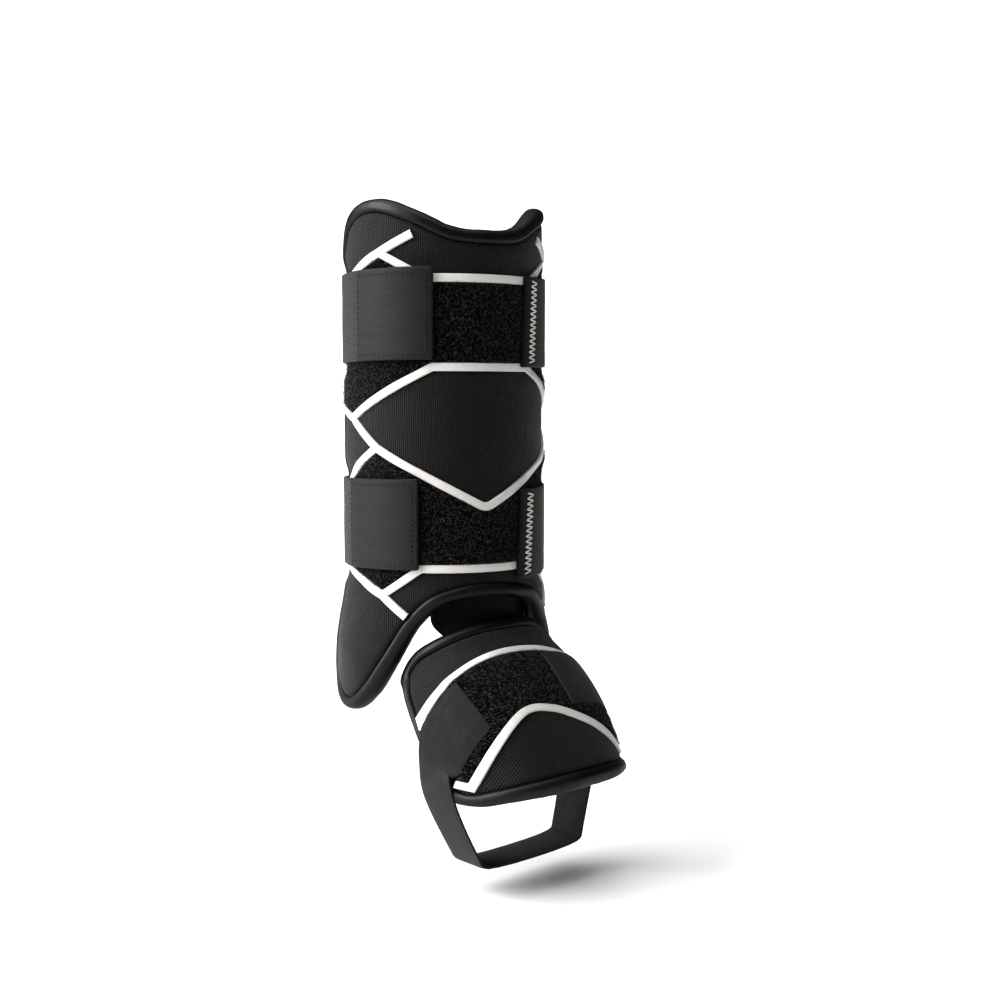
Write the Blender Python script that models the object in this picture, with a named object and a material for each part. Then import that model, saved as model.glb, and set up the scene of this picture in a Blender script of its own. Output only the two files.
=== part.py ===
"""A padded leg guard for a batter: shin pad, foot pad and their straps, in the form that it has when worn.

The origin lies on the axis of the leg, half way up the shin pad. The shin faces -Y and +Z is up.
Every padded piece is a flat pattern piece, drawn as an outline in metres, that is wrapped on one of two
forms: the round form of the shin, and the arched form of the instep, which is turned with the foot.
"""

import math

import bmesh
import bpy
from mathutils import Vector

# Sizes of the shin form, in metres and degrees
SHIN_RADIUS = 0.0600
SHELL_HALF_WRAP = 110.0
SHELL_FOOT = -0.1425
SHELL_HEIGHT = 0.2860
WING_FLARE = 0.0064
WING_FLARE_TOP = 0.26
WING_FLARE_FULL = 0.08
WING_FLARE_START = 0.36
WING_FLARE_END = 0.73
FLARE_STEPS = 3
ARCH_LEAN = 0.10
ARCH_LEAN_TOP = 0.36
ARCH_LEAN_FULL = 0.22
BAND_RECESS = 0.0020
BAND_RECESS_BLEND = 0.0100

# Layers, from the skin outward
CLEARANCE = 0.0003
EDGE_CLEARANCE = 0.0005
SHELL_WALL = 0.0080
LINER_WALL = 0.0030
LOOP_PILE = 0.0014
TRIM_THICKNESS = 0.0012
TRIM_WIDTH = 0.0050
BINDING_WIDTH = 0.0080
BINDING_PROUD = 0.0004
HOOK_THICKNESS = 0.0008
BINDING_FLAT_SHARE = 0.35
BINDING_TURNS = (60.0, 25.0, -25.0, -60.0)

# Facets
GRID = 0.0095
ALONG_GRID = 1.5
NORMAL_STEP = 0.0010
CUT_SNAP = 0.0001
LEAST_MITRE = 0.2
SHARP_ANGLE = 40.0
CORNER_STEPS = 2
FOOT_CORNER_STEPS = 4

# Elastic straps. A strap's place is the share of the shell's height where its tab's middle lies
STRAP_WIDTH = 0.053
STRAP_THICKNESS = 0.0018
STRAP_CORNER = 0.004
STRAP_LEAVES_SHELL = 128.0
STRAP_MEETS_CALF = 164.0
STRAP_STEP = 8.0
UPPER_STRAP_PLACE = 0.794755
UPPER_STRAP_HEIGHT = SHELL_FOOT + SHELL_HEIGHT * UPPER_STRAP_PLACE
UPPER_STRAP_FALL = 0.0040
UPPER_CALF_RADIUS = 0.0520
UPPER_SEWN_END = 23.0
UPPER_TAB_END = 330.0
LOWER_STRAP_PLACE = 0.370629
LOWER_STRAP_HEIGHT = SHELL_FOOT + SHELL_HEIGHT * LOWER_STRAP_PLACE
LOWER_STRAP_FALL = 0.0075
LOWER_CALF_RADIUS = 0.0480
LOWER_SEWN_END = 19.5
LOWER_TAB_END = 321.5
STRAP_BANDS = (
    (UPPER_STRAP_HEIGHT, UPPER_STRAP_FALL),
    (LOWER_STRAP_HEIGHT, LOWER_STRAP_FALL),
)
HOOK_LENGTH = 0.046
HOOK_MARGIN = 0.004
TAB_LIFT_BLEND = 14.0

# Foot pad
FOOT_TURN = 16.0
FOOT_TOP_FORWARD = 0.0584
FOOT_TOP_HEIGHT = -0.0986
FOOT_RUN = 0.0660
FOOT_DROP = 0.0722
FOOT_HALF_WIDTH = 0.0610
FOOT_SETBACK = 0.0530
FOOT_SINK = 0.0260
FOOT_BULGE = 0.0060
FOOT_FULLNESS = 1.35
FOOT_SIDE_ANGLE = 75.0
FOOT_HALF_ARC = 0.0680
FOOT_RIGHT_SHARE = 0.74
FOOT_CORNER = 0.0110
FOOT_TUCKED_CORNER = 0.0300
FOOT_WALL = 0.0080
FOOT_BINDING_WIDTH = 0.0070

# Foot strap
FOOT_STRAP_THICKNESS = 0.0018
FOOT_STRAP_COLUMNS = 3
FOOT_STRAP_SPACE = 0.0003
SOLE_HEIGHT = -0.2330
SOLE_FORWARD = 0.0640
PAD_SIDE_HEIGHT = -0.1620
RIGHT_RUN_SHARE = 0.90

# Gusset
GUSSET_LEFT_WRAP = 50.0
GUSSET_RIGHT_WRAP = 32.0
GUSSET_SPREAD = 78.0
GUSSET_THICKNESS = 0.0015
GUSSET_LAP = 0.0060
GUSSET_DROP = 0.0144
GUSSET_SPACE = 0.0008
GUSSET_COLUMNS = 16

# The shell's outline on its right half, from the middle of the rim round to the middle of the arch
# Columns: share of the half wrap, share of the shell's height
SHELL_OUTLINE = (
    (0.00, 0.934),
    (0.20, 0.941),
    (0.40, 0.976),
    (0.62, 1.000),
    (0.83, 0.980),
    (0.96, 0.913),
    (1.00, 0.816),
    (1.00, 0.490),
    (1.00, 0.150),
    (0.97, 0.062),
    (0.88, 0.010),
    (0.77, 0.000),
    (0.66, 0.030),
    (0.54, 0.100),
    (0.43, 0.170),
    (0.30, 0.220),
    (0.15, 0.242),
    (0.00, 0.248),
)

# Points of the trim lines on the right half. Columns: share of the half wrap, share of the shell's height
TRIM_POINTS = {
    "top_middle": (0.000, 0.865),
    "top_turn": (0.325, 0.865),
    "top_branch": (0.570, 0.917),
    "top_seam": (0.380, 0.952),
    "top_rear": (0.965, 0.886),
    "shield_middle": (0.000, 0.688),
    "shield_turn": (0.282, 0.688),
    "shield_side": (0.791, 0.584),
    "shield_rear": (0.965, 0.607),
    "shield_branch": (0.591, 0.524),
    "branch_rear": (0.965, 0.431),
    "shield_point": (0.000, 0.402),
    "arch_middle": (0.000, 0.280),
    "arch_turn": (0.345, 0.280),
    "arch_branch": (0.558, 0.223),
    "arch_seam": (0.420, 0.181),
    "arch_side": (0.727, 0.248),
    "arch_rear": (0.965, 0.274),
}
UPPER_LINES = (
    ("top_middle", "top_turn"),
    ("top_turn", "top_branch"),
    ("top_branch", "top_seam"),
    ("top_branch", "top_rear"),
)
SHIELD_LINES = (
    ("shield_middle", "shield_turn"),
    ("shield_turn", "shield_side"),
    ("shield_side", "shield_rear"),
    ("shield_side", "shield_branch"),
    ("shield_branch", "branch_rear"),
    ("shield_branch", "shield_point"),
)
LOWER_LINES = (
    ("arch_middle", "arch_turn"),
    ("arch_turn", "arch_branch"),
    ("arch_branch", "arch_seam"),
    ("arch_branch", "arch_side"),
    ("arch_side", "arch_rear"),
)

# The loop panels' edges on the right half, upper edge and then lower edge, both from the middle outward
UPPER_PANEL = (
    ("top_middle", "top_turn", "top_branch", "top_rear"),
    ("shield_middle", "shield_turn", "shield_side", "shield_rear"),
)
LOWER_PANEL = (
    ("shield_point", "shield_branch", "branch_rear"),
    ("arch_middle", "arch_turn", "arch_branch", "arch_side", "arch_rear"),
)

# Cross sections of the foot pad, from its top to its toe end
# Columns: share of the length, then shares of the half width, the setback and the sink of its sides
FOOT_SECTIONS = (
    (0.00, 0.82, 0.66, 0.90),
    (0.33, 0.95, 0.89, 0.68),
    (0.67, 1.00, 0.96, 0.64),
    (1.00, 0.95, 0.93, 0.66),
)

# Foot trim lines from left to right. Columns: share of the half arc, share of the length from the toe
FOOT_UPPER_LINE = (
    (-0.940, 0.463),
    (-0.930, 0.578),
    (-0.830, 0.679),
    (-0.690, 0.770),
    (-0.510, 0.815),
    (-0.330, 0.830),
    (-0.120, 0.819),
    (0.100, 0.792),
    (0.300, 0.748),
    (0.500, 0.677),
    (0.610, 0.590),
    (0.670, 0.463),
)
FOOT_LOWER_LINE = (
    (-0.900, 0.050),
    (-0.838, 0.050),
    (-0.756, 0.113),
    (-0.660, 0.212),
    (-0.560, 0.294),
    (-0.450, 0.362),
    (-0.300, 0.405),
    (-0.170, 0.403),
    (0.020, 0.340),
    (0.250, 0.228),
    (0.420, 0.124),
    (0.530, 0.050),
    (0.620, 0.050),
)

# The foot strap on the pad, from each tab's end outward. Columns: share of the half arc and share of the
# length for the edge toward the toe, and then for the edge toward the shin
LEFT_TAB = (
    (0.588, 0.351, 0.678, 0.687),
    (0.670, 0.299, 0.820, 0.589),
    (0.751, 0.241, 0.962, 0.463),
    (0.830, 0.179, 1.010, 0.381),
    (0.906, 0.117, 1.045, 0.310),
)
RIGHT_TAB = (
    (0.083, 0.385, 0.083, 0.756),
    (0.250, 0.370, 0.250, 0.745),
    (0.420, 0.345, 0.430, 0.705),
    (0.560, 0.310, 0.580, 0.640),
    (0.680, 0.250, 0.700, 0.540),
    (0.770, 0.185, 0.790, 0.430),
    (0.850, 0.117, 0.870, 0.330),
)

# The foot strap's free run below the pad, on the left and nearer the middle on the right. Columns: share of
# the pad's half width, share of the height from the sole to the pad's side, forward place of the edge toward
# the heel and of the edge toward the toe as shares of the sole's forward place
FOOT_STRAP_RUN = (
    (1.08, 0.86, 0.78, 1.17),
    (1.03, 0.62, 0.76, 1.19),
    (0.88, 0.32, 0.82, 1.22),
    (0.74, 0.09, 0.87, 1.26),
)
SOLE_RUN = (0.55, -0.55)

# Finishes: colour and roughness
SHELL_FINISH = ((0.022, 0.022, 0.024), 0.70)
LINER_FINISH = ((0.012, 0.012, 0.013), 0.80)
BINDING_FINISH = ((0.012, 0.012, 0.013), 0.45)
LOOP_FINISH = ((0.010, 0.010, 0.010), 0.95)
TRIM_FINISH = ((0.740, 0.720, 0.690), 0.50)
STRAP_FINISH = ((0.030, 0.031, 0.036), 0.60)
FOOT_STRAP_FINISH = ((0.030, 0.031, 0.036), 0.80)


def smoothed(share):
    """An ease from 0 to 1."""
    share = min(max(share, 0.0), 1.0)
    return share * share * (3.0 - 2.0 * share)


def shell_point(wrap_share, height_share):
    """A flat point of the pattern: arc length from the middle, and height. The arch leans to the right."""
    low = smoothed((ARCH_LEAN_TOP - height_share) / (ARCH_LEAN_TOP - ARCH_LEAN_FULL))
    lean = 4.0 * ARCH_LEAN * low * max(wrap_share, 0.0) * (1.0 - wrap_share)
    arc = math.radians(SHELL_HALF_WRAP * (wrap_share + lean)) * SHIN_RADIUS
    return (arc, SHELL_FOOT + SHELL_HEIGHT * height_share)


def shin_place(arc, height, proud):
    """A point on the shin form, proud of its surface."""
    angle = arc / SHIN_RADIUS
    half_wrap = math.radians(SHELL_HALF_WRAP)
    side = (abs(angle) / half_wrap - WING_FLARE_START) / (WING_FLARE_END - WING_FLARE_START)
    share = (height - SHELL_FOOT) / SHELL_HEIGHT
    down = (WING_FLARE_TOP - share) / (WING_FLARE_TOP - WING_FLARE_FULL)
    reach = SHIN_RADIUS + WING_FLARE * smoothed(side) * smoothed(down) + proud
    for middle, fall in STRAP_BANDS:
        past = abs(height - middle + fall / 2.0) - (STRAP_WIDTH + fall) / 2.0
        reach -= BAND_RECESS * (1.0 - smoothed(past / BAND_RECESS_BLEND))
    return Vector((reach * math.sin(angle), -reach * math.cos(angle), height))


def blended(rows, share):
    """The columns of a table of sections at a share, on a smooth curve through its rows."""
    last = len(rows) - 1
    index = 0
    while index < last - 1 and share > rows[index + 1][0]:
        index += 1
    before, start, end, after = (rows[min(max(k, 0), last)] for k in range(index - 1, index + 3))
    at = (share - start[0]) / (end[0] - start[0])
    mixed = []
    for column in range(1, len(start)):
        p, q, r, s = before[column], start[column], end[column], after[column]
        curve = (2.0 * p - 5.0 * q + 4.0 * r - s) * at * at + (3.0 * q - p - 3.0 * r + s) * at**3
        mixed.append(q + 0.5 * ((r - p) * at + curve))
    return mixed


def foot_to_world(forward, lateral, height):
    """A point given along the foot, to the right of its middle, and up."""
    turn = math.radians(FOOT_TURN)
    right = lateral * math.cos(turn) + forward * math.sin(turn)
    back = lateral * math.sin(turn) - forward * math.cos(turn)
    return Vector((right, back, height))


def foot_length():
    """The foot pad's length along its middle."""
    return math.hypot(FOOT_RUN, FOOT_DROP)


def foot_skin(arc, along):
    """A point of the instep form's surface: arc to the right of the middle, distance from the toe end."""
    share = 1.0 - along / foot_length()
    width, setback, sink = blended(FOOT_SECTIONS, share)
    side = math.radians(FOOT_SIDE_ANGLE)
    angle = arc / FOOT_HALF_ARC * side
    fall = ((1.0 - math.cos(angle)) / (1.0 - math.cos(side))) ** FOOT_FULLNESS
    lateral = FOOT_HALF_WIDTH * width * math.sin(angle) / math.sin(side)
    bulge = FOOT_BULGE * math.sin(math.pi * min(max(share, 0.0), 1.0)) / foot_length()
    forward = FOOT_TOP_FORWARD + FOOT_RUN * share + FOOT_DROP * bulge - FOOT_SETBACK * setback * fall
    height = FOOT_TOP_HEIGHT - FOOT_DROP * share + FOOT_RUN * bulge - FOOT_SINK * sink * fall
    return foot_to_world(forward, lateral, height)


def foot_place(arc, along, proud):
    """A point on the instep form, proud of its surface."""
    step = NORMAL_STEP
    across = foot_skin(arc + step, along) - foot_skin(arc - step, along)
    upward = foot_skin(arc, along + step) - foot_skin(arc, along - step)
    return foot_skin(arc, along) + across.cross(upward).normalized() * proud


def smooth_line(points, steps):
    """A line through the points as a smooth curve, with the given steps between two of them."""
    line = []
    last = len(points) - 1
    for index in range(last):
        before, start, end, after = (
            Vector(points[min(max(k, 0), last)]) for k in range(index - 1, index + 3)
        )
        for step in range(steps):
            at = step / steps
            curve = (2.0 * before - 5.0 * start + 4.0 * end - after) * at * at
            curve += (3.0 * start - before - 3.0 * end + after) * at**3
            line.append(start + 0.5 * ((end - before) * at + curve))
    line.append(Vector(points[last]))
    return [(point[0], point[1]) for point in line]


def whole_outline(rows):
    """The flat outline from the rows of its right half, which start and end in the middle, anticlockwise."""
    right = [shell_point(wrap, height) for wrap, height in rows]
    left = [shell_point(-wrap, height) for wrap, height in reversed(rows[1:-1])]
    return list(reversed(right + left))


def shell_outline():
    """The shell's flat outline, as a smooth curve."""
    corners = whole_outline(SHELL_OUTLINE)
    return smooth_line(corners + corners[:1], 2)[:-1]


def arch_height(arc):
    """The height of the arch's edge at an arc from the middle, straight between the outline's rows."""
    rows = SHELL_OUTLINE[-1:-7:-1]
    side = math.copysign(1.0, arc)
    edge = [shell_point(side * wrap, height) for wrap, height in rows]
    for (start, low), (end, high) in zip(edge, edge[1:]):
        if abs(start) <= abs(arc) <= abs(end):
            return low + (high - low) * (arc - start) / (end - start)
    return edge[-1][1]


def rounded_rectangle(left, right, low, high, corners, steps):
    """A rectangle's outline, anticlockwise, with four corner radii from the lower right one on."""
    sides = (
        (right, low, -1.0, 1.0),
        (right, high, -1.0, -1.0),
        (left, high, 1.0, -1.0),
        (left, low, 1.0, 1.0),
    )
    outline = []
    for index, (across, up, inward, upward) in enumerate(sides):
        corner = corners[index]
        for step in range(steps + 1):
            angle = math.radians(90.0 * (index - 1.0 + step / steps))
            middle = (across + inward * corner, up + upward * corner)
            outline.append((middle[0] + corner * math.cos(angle), middle[1] + corner * math.sin(angle)))
    return outline


def moved_in(outline, distance):
    """An anticlockwise outline moved inward by a distance, with its corners mitred."""
    moved = []
    count = len(outline)
    for index, point in enumerate(outline):
        here = Vector(point)
        back = (here - Vector(outline[index - 1])).normalized()
        ahead = (Vector(outline[(index + 1) % count]) - here).normalized()
        inward = Vector((-back.y - ahead.y, back.x + ahead.x)).normalized()
        reach = distance / max(inward.dot(Vector((-back.y, back.x))), LEAST_MITRE)
        moved.append(tuple(here + inward * reach))
    return moved


def flat_sheet(outline):
    """A flat face with the outline as its edge."""
    sheet = bmesh.new()
    sheet.faces.new([sheet.verts.new((across, up, 0.0)) for across, up in outline])
    return sheet


def flat_network(points, lines, width):
    """Flat strips of one width along the lines, mitred where two or more meet."""
    sheet = bmesh.new()
    sides = {}
    for name, point in points.items():
        here = Vector(point)
        others = [b if a == name else a for a, b in lines if name in (a, b)]
        ways = {other: (Vector(points[other]) - here).normalized() for other in others}
        others.sort(key=lambda other: math.atan2(ways[other].y, ways[other].x))
        corners = []
        for index, other in enumerate(others):
            way = ways[other]
            following = ways[others[(index + 1) % len(others)]]
            if len(others) == 1:
                across = Vector((-way.y, way.x)) * width / 2.0
                sides[name, other] = [sheet.verts.new((*(here + at), 0.0)) for at in (-across, across)]
                continue
            turn = (math.atan2(following.y, following.x) - math.atan2(way.y, way.x)) % math.tau
            reach = width / 2.0 / math.sin(turn / 2.0)
            middle = Vector((math.cos(turn / 2.0), math.sin(turn / 2.0)))
            across = way.x * middle.x - way.y * middle.y
            upward = way.x * middle.y + way.y * middle.x
            corner = here + Vector((across, upward)) * reach
            corners.append(sheet.verts.new((*corner, 0.0)))
        for index, other in enumerate(others[: len(corners)]):
            sides[name, other] = [corners[index - 1], corners[index]]
        if len(corners) > 2:
            sheet.faces.new(corners)
    for first, second in lines:
        right, left = sides[first, second]
        far_right, far_left = sides[second, first]
        sheet.faces.new([right, far_left, far_right, left])
    return sheet


def cut_across(sheet, axis, places):
    """Cuts a flat sheet straight across at the places along one axis."""
    for at in places:
        place = Vector((0.0, 0.0, 0.0))
        place[axis] = at
        normal = Vector((0.0, 0.0, 0.0))
        normal[axis] = 1.0
        bmesh.ops.bisect_plane(
            sheet,
            geom=sheet.verts[:] + sheet.edges[:] + sheet.faces[:],
            plane_co=place,
            plane_no=normal,
            dist=CUT_SNAP,
        )


def grid_places(sheet, axis, step):
    """Multiples of the step that the sheet reaches along one axis."""
    reach = [vert.co[axis] for vert in sheet.verts]
    return [index * step for index in range(math.ceil(min(reach) / step), math.floor(max(reach) / step) + 1)]


def cut_at_shin_levels(sheet):
    """Cuts a flat sheet level at the strap bands' edges and along the wings, where the shin form bends."""
    levels = []
    for middle, fall in STRAP_BANDS:
        for side in (-1.0, 1.0):
            for past in (0.0, 1.0):
                reach = (STRAP_WIDTH + fall) / 2.0 + BAND_RECESS_BLEND * past
                levels.append(middle - fall / 2.0 + side * reach)
    for step in range(FLARE_STEPS + 1):
        share = WING_FLARE_FULL + (WING_FLARE_TOP - WING_FLARE_FULL) * step / FLARE_STEPS
        levels.append(SHELL_FOOT + SHELL_HEIGHT * share)
    cut_across(sheet, 1, levels)


def cut_for_shin(sheet):
    """Cuts a flat sheet round the shin form and at its levels."""
    cut_across(sheet, 0, grid_places(sheet, 0, GRID))
    cut_at_shin_levels(sheet)


def cut_for_foot(sheet):
    """Cuts a flat sheet where the instep form bends."""
    cut_across(sheet, 0, grid_places(sheet, 0, GRID))
    cut_across(sheet, 1, grid_places(sheet, 1, GRID * ALONG_GRID))


def cut_outline(outline, cut):
    """An outline with the points added where the cuts of a form meet it."""
    sheet = flat_sheet(outline)
    cut(sheet)
    following = {}
    for edge in sheet.edges:
        if edge.is_boundary:
            loop = edge.link_loops[0]
            following[loop.vert] = loop.link_loop_next.vert
    points = []
    vert = next(iter(following))
    for _ in range(len(following)):
        points.append((vert.co.x, vert.co.y))
        vert = following[vert]
    sheet.free()
    return points


def plain_material(name, finish):
    """A material of one colour and one roughness."""
    colour, roughness = finish
    material = bpy.data.materials.new(name)
    material.use_nodes = True
    shader = material.node_tree.nodes["Principled BSDF"]
    shader.inputs["Base Color"].default_value = (*colour, 1.0)
    shader.inputs["Roughness"].default_value = roughness
    shader.inputs["Metallic"].default_value = 0.0
    return material


def made_object(name, body, finish):
    """An object from a closed body, with its faces split into triangles."""
    bmesh.ops.triangulate(body, faces=body.faces[:])
    bmesh.ops.recalc_face_normals(body, faces=body.faces[:])
    mesh = bpy.data.meshes.new(name)
    body.to_mesh(mesh)
    body.free()
    mesh.shade_smooth()
    mesh.set_sharp_from_angle(angle=math.radians(SHARP_ANGLE))
    mesh.materials.append(plain_material(name + "_finish", finish))
    made = bpy.data.objects.new(name, mesh)
    bpy.context.collection.objects.link(made)
    return made


def wrapped_body(sheet, place, inner, outer):
    """A closed body: the flat sheet wrapped on a form, between two heights over the form's surface."""
    body = bmesh.new()
    low = {vert: body.verts.new(place(vert.co.x, vert.co.y, inner)) for vert in sheet.verts}
    high = {vert: body.verts.new(place(vert.co.x, vert.co.y, outer)) for vert in sheet.verts}
    for face in sheet.faces:
        body.faces.new([high[vert] for vert in face.verts])
        body.faces.new([low[vert] for vert in reversed(face.verts)])
    for edge in sheet.edges:
        if edge.is_boundary:
            loop = edge.link_loops[0]
            first, second = loop.vert, loop.link_loop_next.vert
            body.faces.new([low[first], low[second], high[second], high[first]])
    sheet.free()
    return body


def lofted_body(sections, closed):
    """A body through rings of points. A closed one joins its last ring to its first."""
    body = bmesh.new()
    rings = [[body.verts.new(point) for point in section] for section in sections]
    pairs = list(zip(rings, rings[1:]))
    if closed:
        pairs.append((rings[-1], rings[0]))
    else:
        body.faces.new(rings[0])
        body.faces.new(list(reversed(rings[-1])))
    for near, far in pairs:
        for index in range(len(near)):
            following = (index + 1) % len(near)
            body.faces.new([near[index], near[following], far[following], far[index]])
    return body


def rolled_edge(outline, place, width, low, high):
    """A soft rolled edge round an outline: a closed ring whose section is flat inside and round outside."""
    section = [(EDGE_CLEARANCE, low), (EDGE_CLEARANCE, high)]
    middle = (low + high) / 2.0
    half = (high - low) / 2.0
    section.append((width * BINDING_FLAT_SHARE, high))
    for turn in BINDING_TURNS:
        angle = math.radians(turn)
        out = EDGE_CLEARANCE + (width - EDGE_CLEARANCE) * math.sqrt(math.cos(angle))
        section.append((out, middle + half * math.sin(angle)))
    section.append((width * BINDING_FLAT_SHARE, low))
    rings = []
    count = len(outline)
    for index, (across, up) in enumerate(outline):
        ahead = Vector(outline[(index + 1) % count])
        along = (ahead - Vector(outline[index - 1])).normalized()
        out = Vector((along.y, -along.x))
        rings.append([place(across + out.x * at, up + out.y * at, proud) for at, proud in section])
    return lofted_body(rings, closed=True)


def both_halves(points, lines):
    """The points and lines of the right half, with those of the left. A point in the middle is shared."""
    places = {}
    joined = []
    for side in (1.0, -1.0):
        for line in lines:
            ends = []
            for name in line:
                wrap, height = points[name]
                key = (name, side if wrap > 0.0 else 0.0)
                places[key] = shell_point(wrap * side, height)
                ends.append(key)
            joined.append(tuple(ends))
    return places, joined


def shell_layers():
    """Heights over the shin form of the liner's and the shell's two faces."""
    shell = (-SHELL_WALL, 0.0)
    liner = (-SHELL_WALL - CLEARANCE - LINER_WALL, -SHELL_WALL - CLEARANCE)
    return shell, liner


def build_shin_pad():
    """Shell, liner and rolled edge of the shin pad."""
    shell, liner = shell_layers()
    for name, layer, finish in (
        ("shin_shell", shell, SHELL_FINISH),
        ("shin_liner", liner, LINER_FINISH),
    ):
        sheet = flat_sheet(shell_outline())
        cut_for_shin(sheet)
        made_object(name, wrapped_body(sheet, shin_place, *layer), finish)
    outline = cut_outline(shell_outline(), cut_at_shin_levels)
    edge = rolled_edge(outline, shin_place, BINDING_WIDTH, liner[0], BINDING_PROUD)
    made_object("shin_binding", edge, BINDING_FINISH)


def build_trim():
    """The raised trim lines on the shell."""
    for name, lines in (
        ("upper_trim", UPPER_LINES),
        ("shield_trim", SHIELD_LINES),
        ("lower_trim", LOWER_LINES),
    ):
        sheet = flat_network(*both_halves(TRIM_POINTS, lines), TRIM_WIDTH)
        cut_for_shin(sheet)
        body = wrapped_body(sheet, shin_place, CLEARANCE, CLEARANCE + TRIM_THICKNESS)
        made_object(name, body, TRIM_FINISH)


def build_loop_panels():
    """The fuzzy bands between the trim lines."""
    for name, (upper, lower) in (
        ("upper_loop_panel", UPPER_PANEL),
        ("lower_loop_panel", LOWER_PANEL),
    ):
        outline = whole_outline([TRIM_POINTS[name] for name in upper + lower[::-1]])
        inset = TRIM_WIDTH / 2.0 + CLEARANCE
        sheet = flat_sheet(moved_in(outline, inset))
        cut_for_shin(sheet)
        body = wrapped_body(sheet, shin_place, CLEARANCE, CLEARANCE + LOOP_PILE)
        made_object(name, body, LOOP_FINISH)


def strap_seat():
    """How far over a form's surface a strap's inner face lies."""
    return CLEARANCE + LOOP_PILE + CLEARANCE


def strap_place(middle, fall, calf_radius, sewn_end, tab_end):
    """A form for one strap: arc and height on the strap's own pattern, from its sewn end to its tab."""
    hook_turn = math.degrees((HOOK_LENGTH + HOOK_MARGIN) / SHIN_RADIUS)
    lift_starts = tab_end - hook_turn - TAB_LIFT_BLEND

    def place(arc, height, proud):
        degrees = math.degrees(arc / SHIN_RADIUS)
        from_front = min(degrees, 360.0 - degrees)
        leaving = (from_front - STRAP_LEAVES_SHELL) / (STRAP_MEETS_CALF - STRAP_LEAVES_SHELL)
        on_shell = SHIN_RADIUS - BAND_RECESS + strap_seat()
        on_shell += (HOOK_THICKNESS + CLEARANCE) * smoothed((degrees - lift_starts) / TAB_LIFT_BLEND)
        reach = on_shell + (calf_radius - on_shell) * smoothed(leaving) + proud
        run = (tab_end - degrees) / (tab_end - sewn_end)
        angle = math.radians(degrees)
        return Vector((reach * math.sin(angle), -reach * math.cos(angle), middle - fall * run + height))

    return place


def build_straps():
    """The two elastic straps, each with the hook patch under its tab."""
    for name, middle, fall, calf_radius, sewn_end, tab_end in (
        ("upper", UPPER_STRAP_HEIGHT, UPPER_STRAP_FALL, UPPER_CALF_RADIUS, UPPER_SEWN_END, UPPER_TAB_END),
        ("lower", LOWER_STRAP_HEIGHT, LOWER_STRAP_FALL, LOWER_CALF_RADIUS, LOWER_SEWN_END, LOWER_TAB_END),
    ):
        place = strap_place(middle, fall, calf_radius, sewn_end, tab_end)
        sewn = math.radians(sewn_end) * SHIN_RADIUS
        tab = math.radians(tab_end) * SHIN_RADIUS
        half = STRAP_WIDTH / 2.0
        step = math.radians(STRAP_STEP) * SHIN_RADIUS
        corners = [STRAP_CORNER] * 4
        sheet = flat_sheet(rounded_rectangle(sewn, tab, -half, half, corners, CORNER_STEPS))
        cut_across(sheet, 0, grid_places(sheet, 0, step))
        made_object(name + "_strap", wrapped_body(sheet, place, 0.0, STRAP_THICKNESS), STRAP_FINISH)
        far = tab - HOOK_MARGIN
        high = half - HOOK_MARGIN
        patch = rounded_rectangle(far - HOOK_LENGTH, far, -high, high, corners, CORNER_STEPS)
        sheet = flat_sheet(patch)
        cut_across(sheet, 0, grid_places(sheet, 0, step))
        body = wrapped_body(sheet, place, -CLEARANCE - HOOK_THICKNESS, -CLEARANCE)
        made_object(name + "_hook_patch", body, LOOP_FINISH)


def foot_point(arc_share, along_share):
    """A flat point of the foot pad's pattern: arc from the middle, distance from the toe end."""
    return (FOOT_HALF_ARC * arc_share, foot_length() * along_share)


def foot_outline():
    """The foot shell's flat outline."""
    right = FOOT_HALF_ARC * FOOT_RIGHT_SHARE
    corners = [FOOT_CORNER, FOOT_TUCKED_CORNER, FOOT_CORNER, FOOT_CORNER]
    return rounded_rectangle(-FOOT_HALF_ARC, right, 0.0, foot_length(), corners, FOOT_CORNER_STEPS)


def foot_line(rows):
    """Points and lines of one trim line across the foot pad."""
    points = {index: foot_point(*row) for index, row in enumerate(rows)}
    return points, [(index, index + 1) for index in range(len(points) - 1)]


def foot_panel_outline():
    """The loop panel's outline, between the two trim lines and inside their ends."""
    upper, _ = foot_line(FOOT_UPPER_LINE)
    lower, _ = foot_line(FOOT_LOWER_LINE)
    outline = list(lower.values()) + list(reversed(upper.values()))
    return moved_in(outline, TRIM_WIDTH / 2.0 + CLEARANCE)


def build_foot_pad():
    """Shell, liner, rolled edge, loop panel and trim of the foot pad."""
    shell = (-FOOT_WALL, 0.0)
    liner = (-FOOT_WALL - CLEARANCE - LINER_WALL, -FOOT_WALL - CLEARANCE)
    for name, layer, finish in (
        ("foot_shell", shell, SHELL_FINISH),
        ("foot_liner", liner, LINER_FINISH),
    ):
        sheet = flat_sheet(foot_outline())
        cut_for_foot(sheet)
        made_object(name, wrapped_body(sheet, foot_place, *layer), finish)
    outline = cut_outline(foot_outline(), cut_for_foot)
    edge = rolled_edge(outline, foot_place, FOOT_BINDING_WIDTH, liner[0], BINDING_PROUD)
    made_object("foot_binding", edge, BINDING_FINISH)
    sheet = flat_sheet(foot_panel_outline())
    cut_for_foot(sheet)
    body = wrapped_body(sheet, foot_place, CLEARANCE, CLEARANCE + LOOP_PILE)
    made_object("foot_loop_panel", body, LOOP_FINISH)
    for name, rows in (
        ("foot_upper_trim", FOOT_UPPER_LINE),
        ("foot_lower_trim", FOOT_LOWER_LINE),
    ):
        sheet = flat_network(*foot_line(rows), TRIM_WIDTH)
        cut_for_foot(sheet)
        body = wrapped_body(sheet, foot_place, CLEARANCE, CLEARANCE + TRIM_THICKNESS)
        made_object(name, body, TRIM_FINISH)


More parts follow.
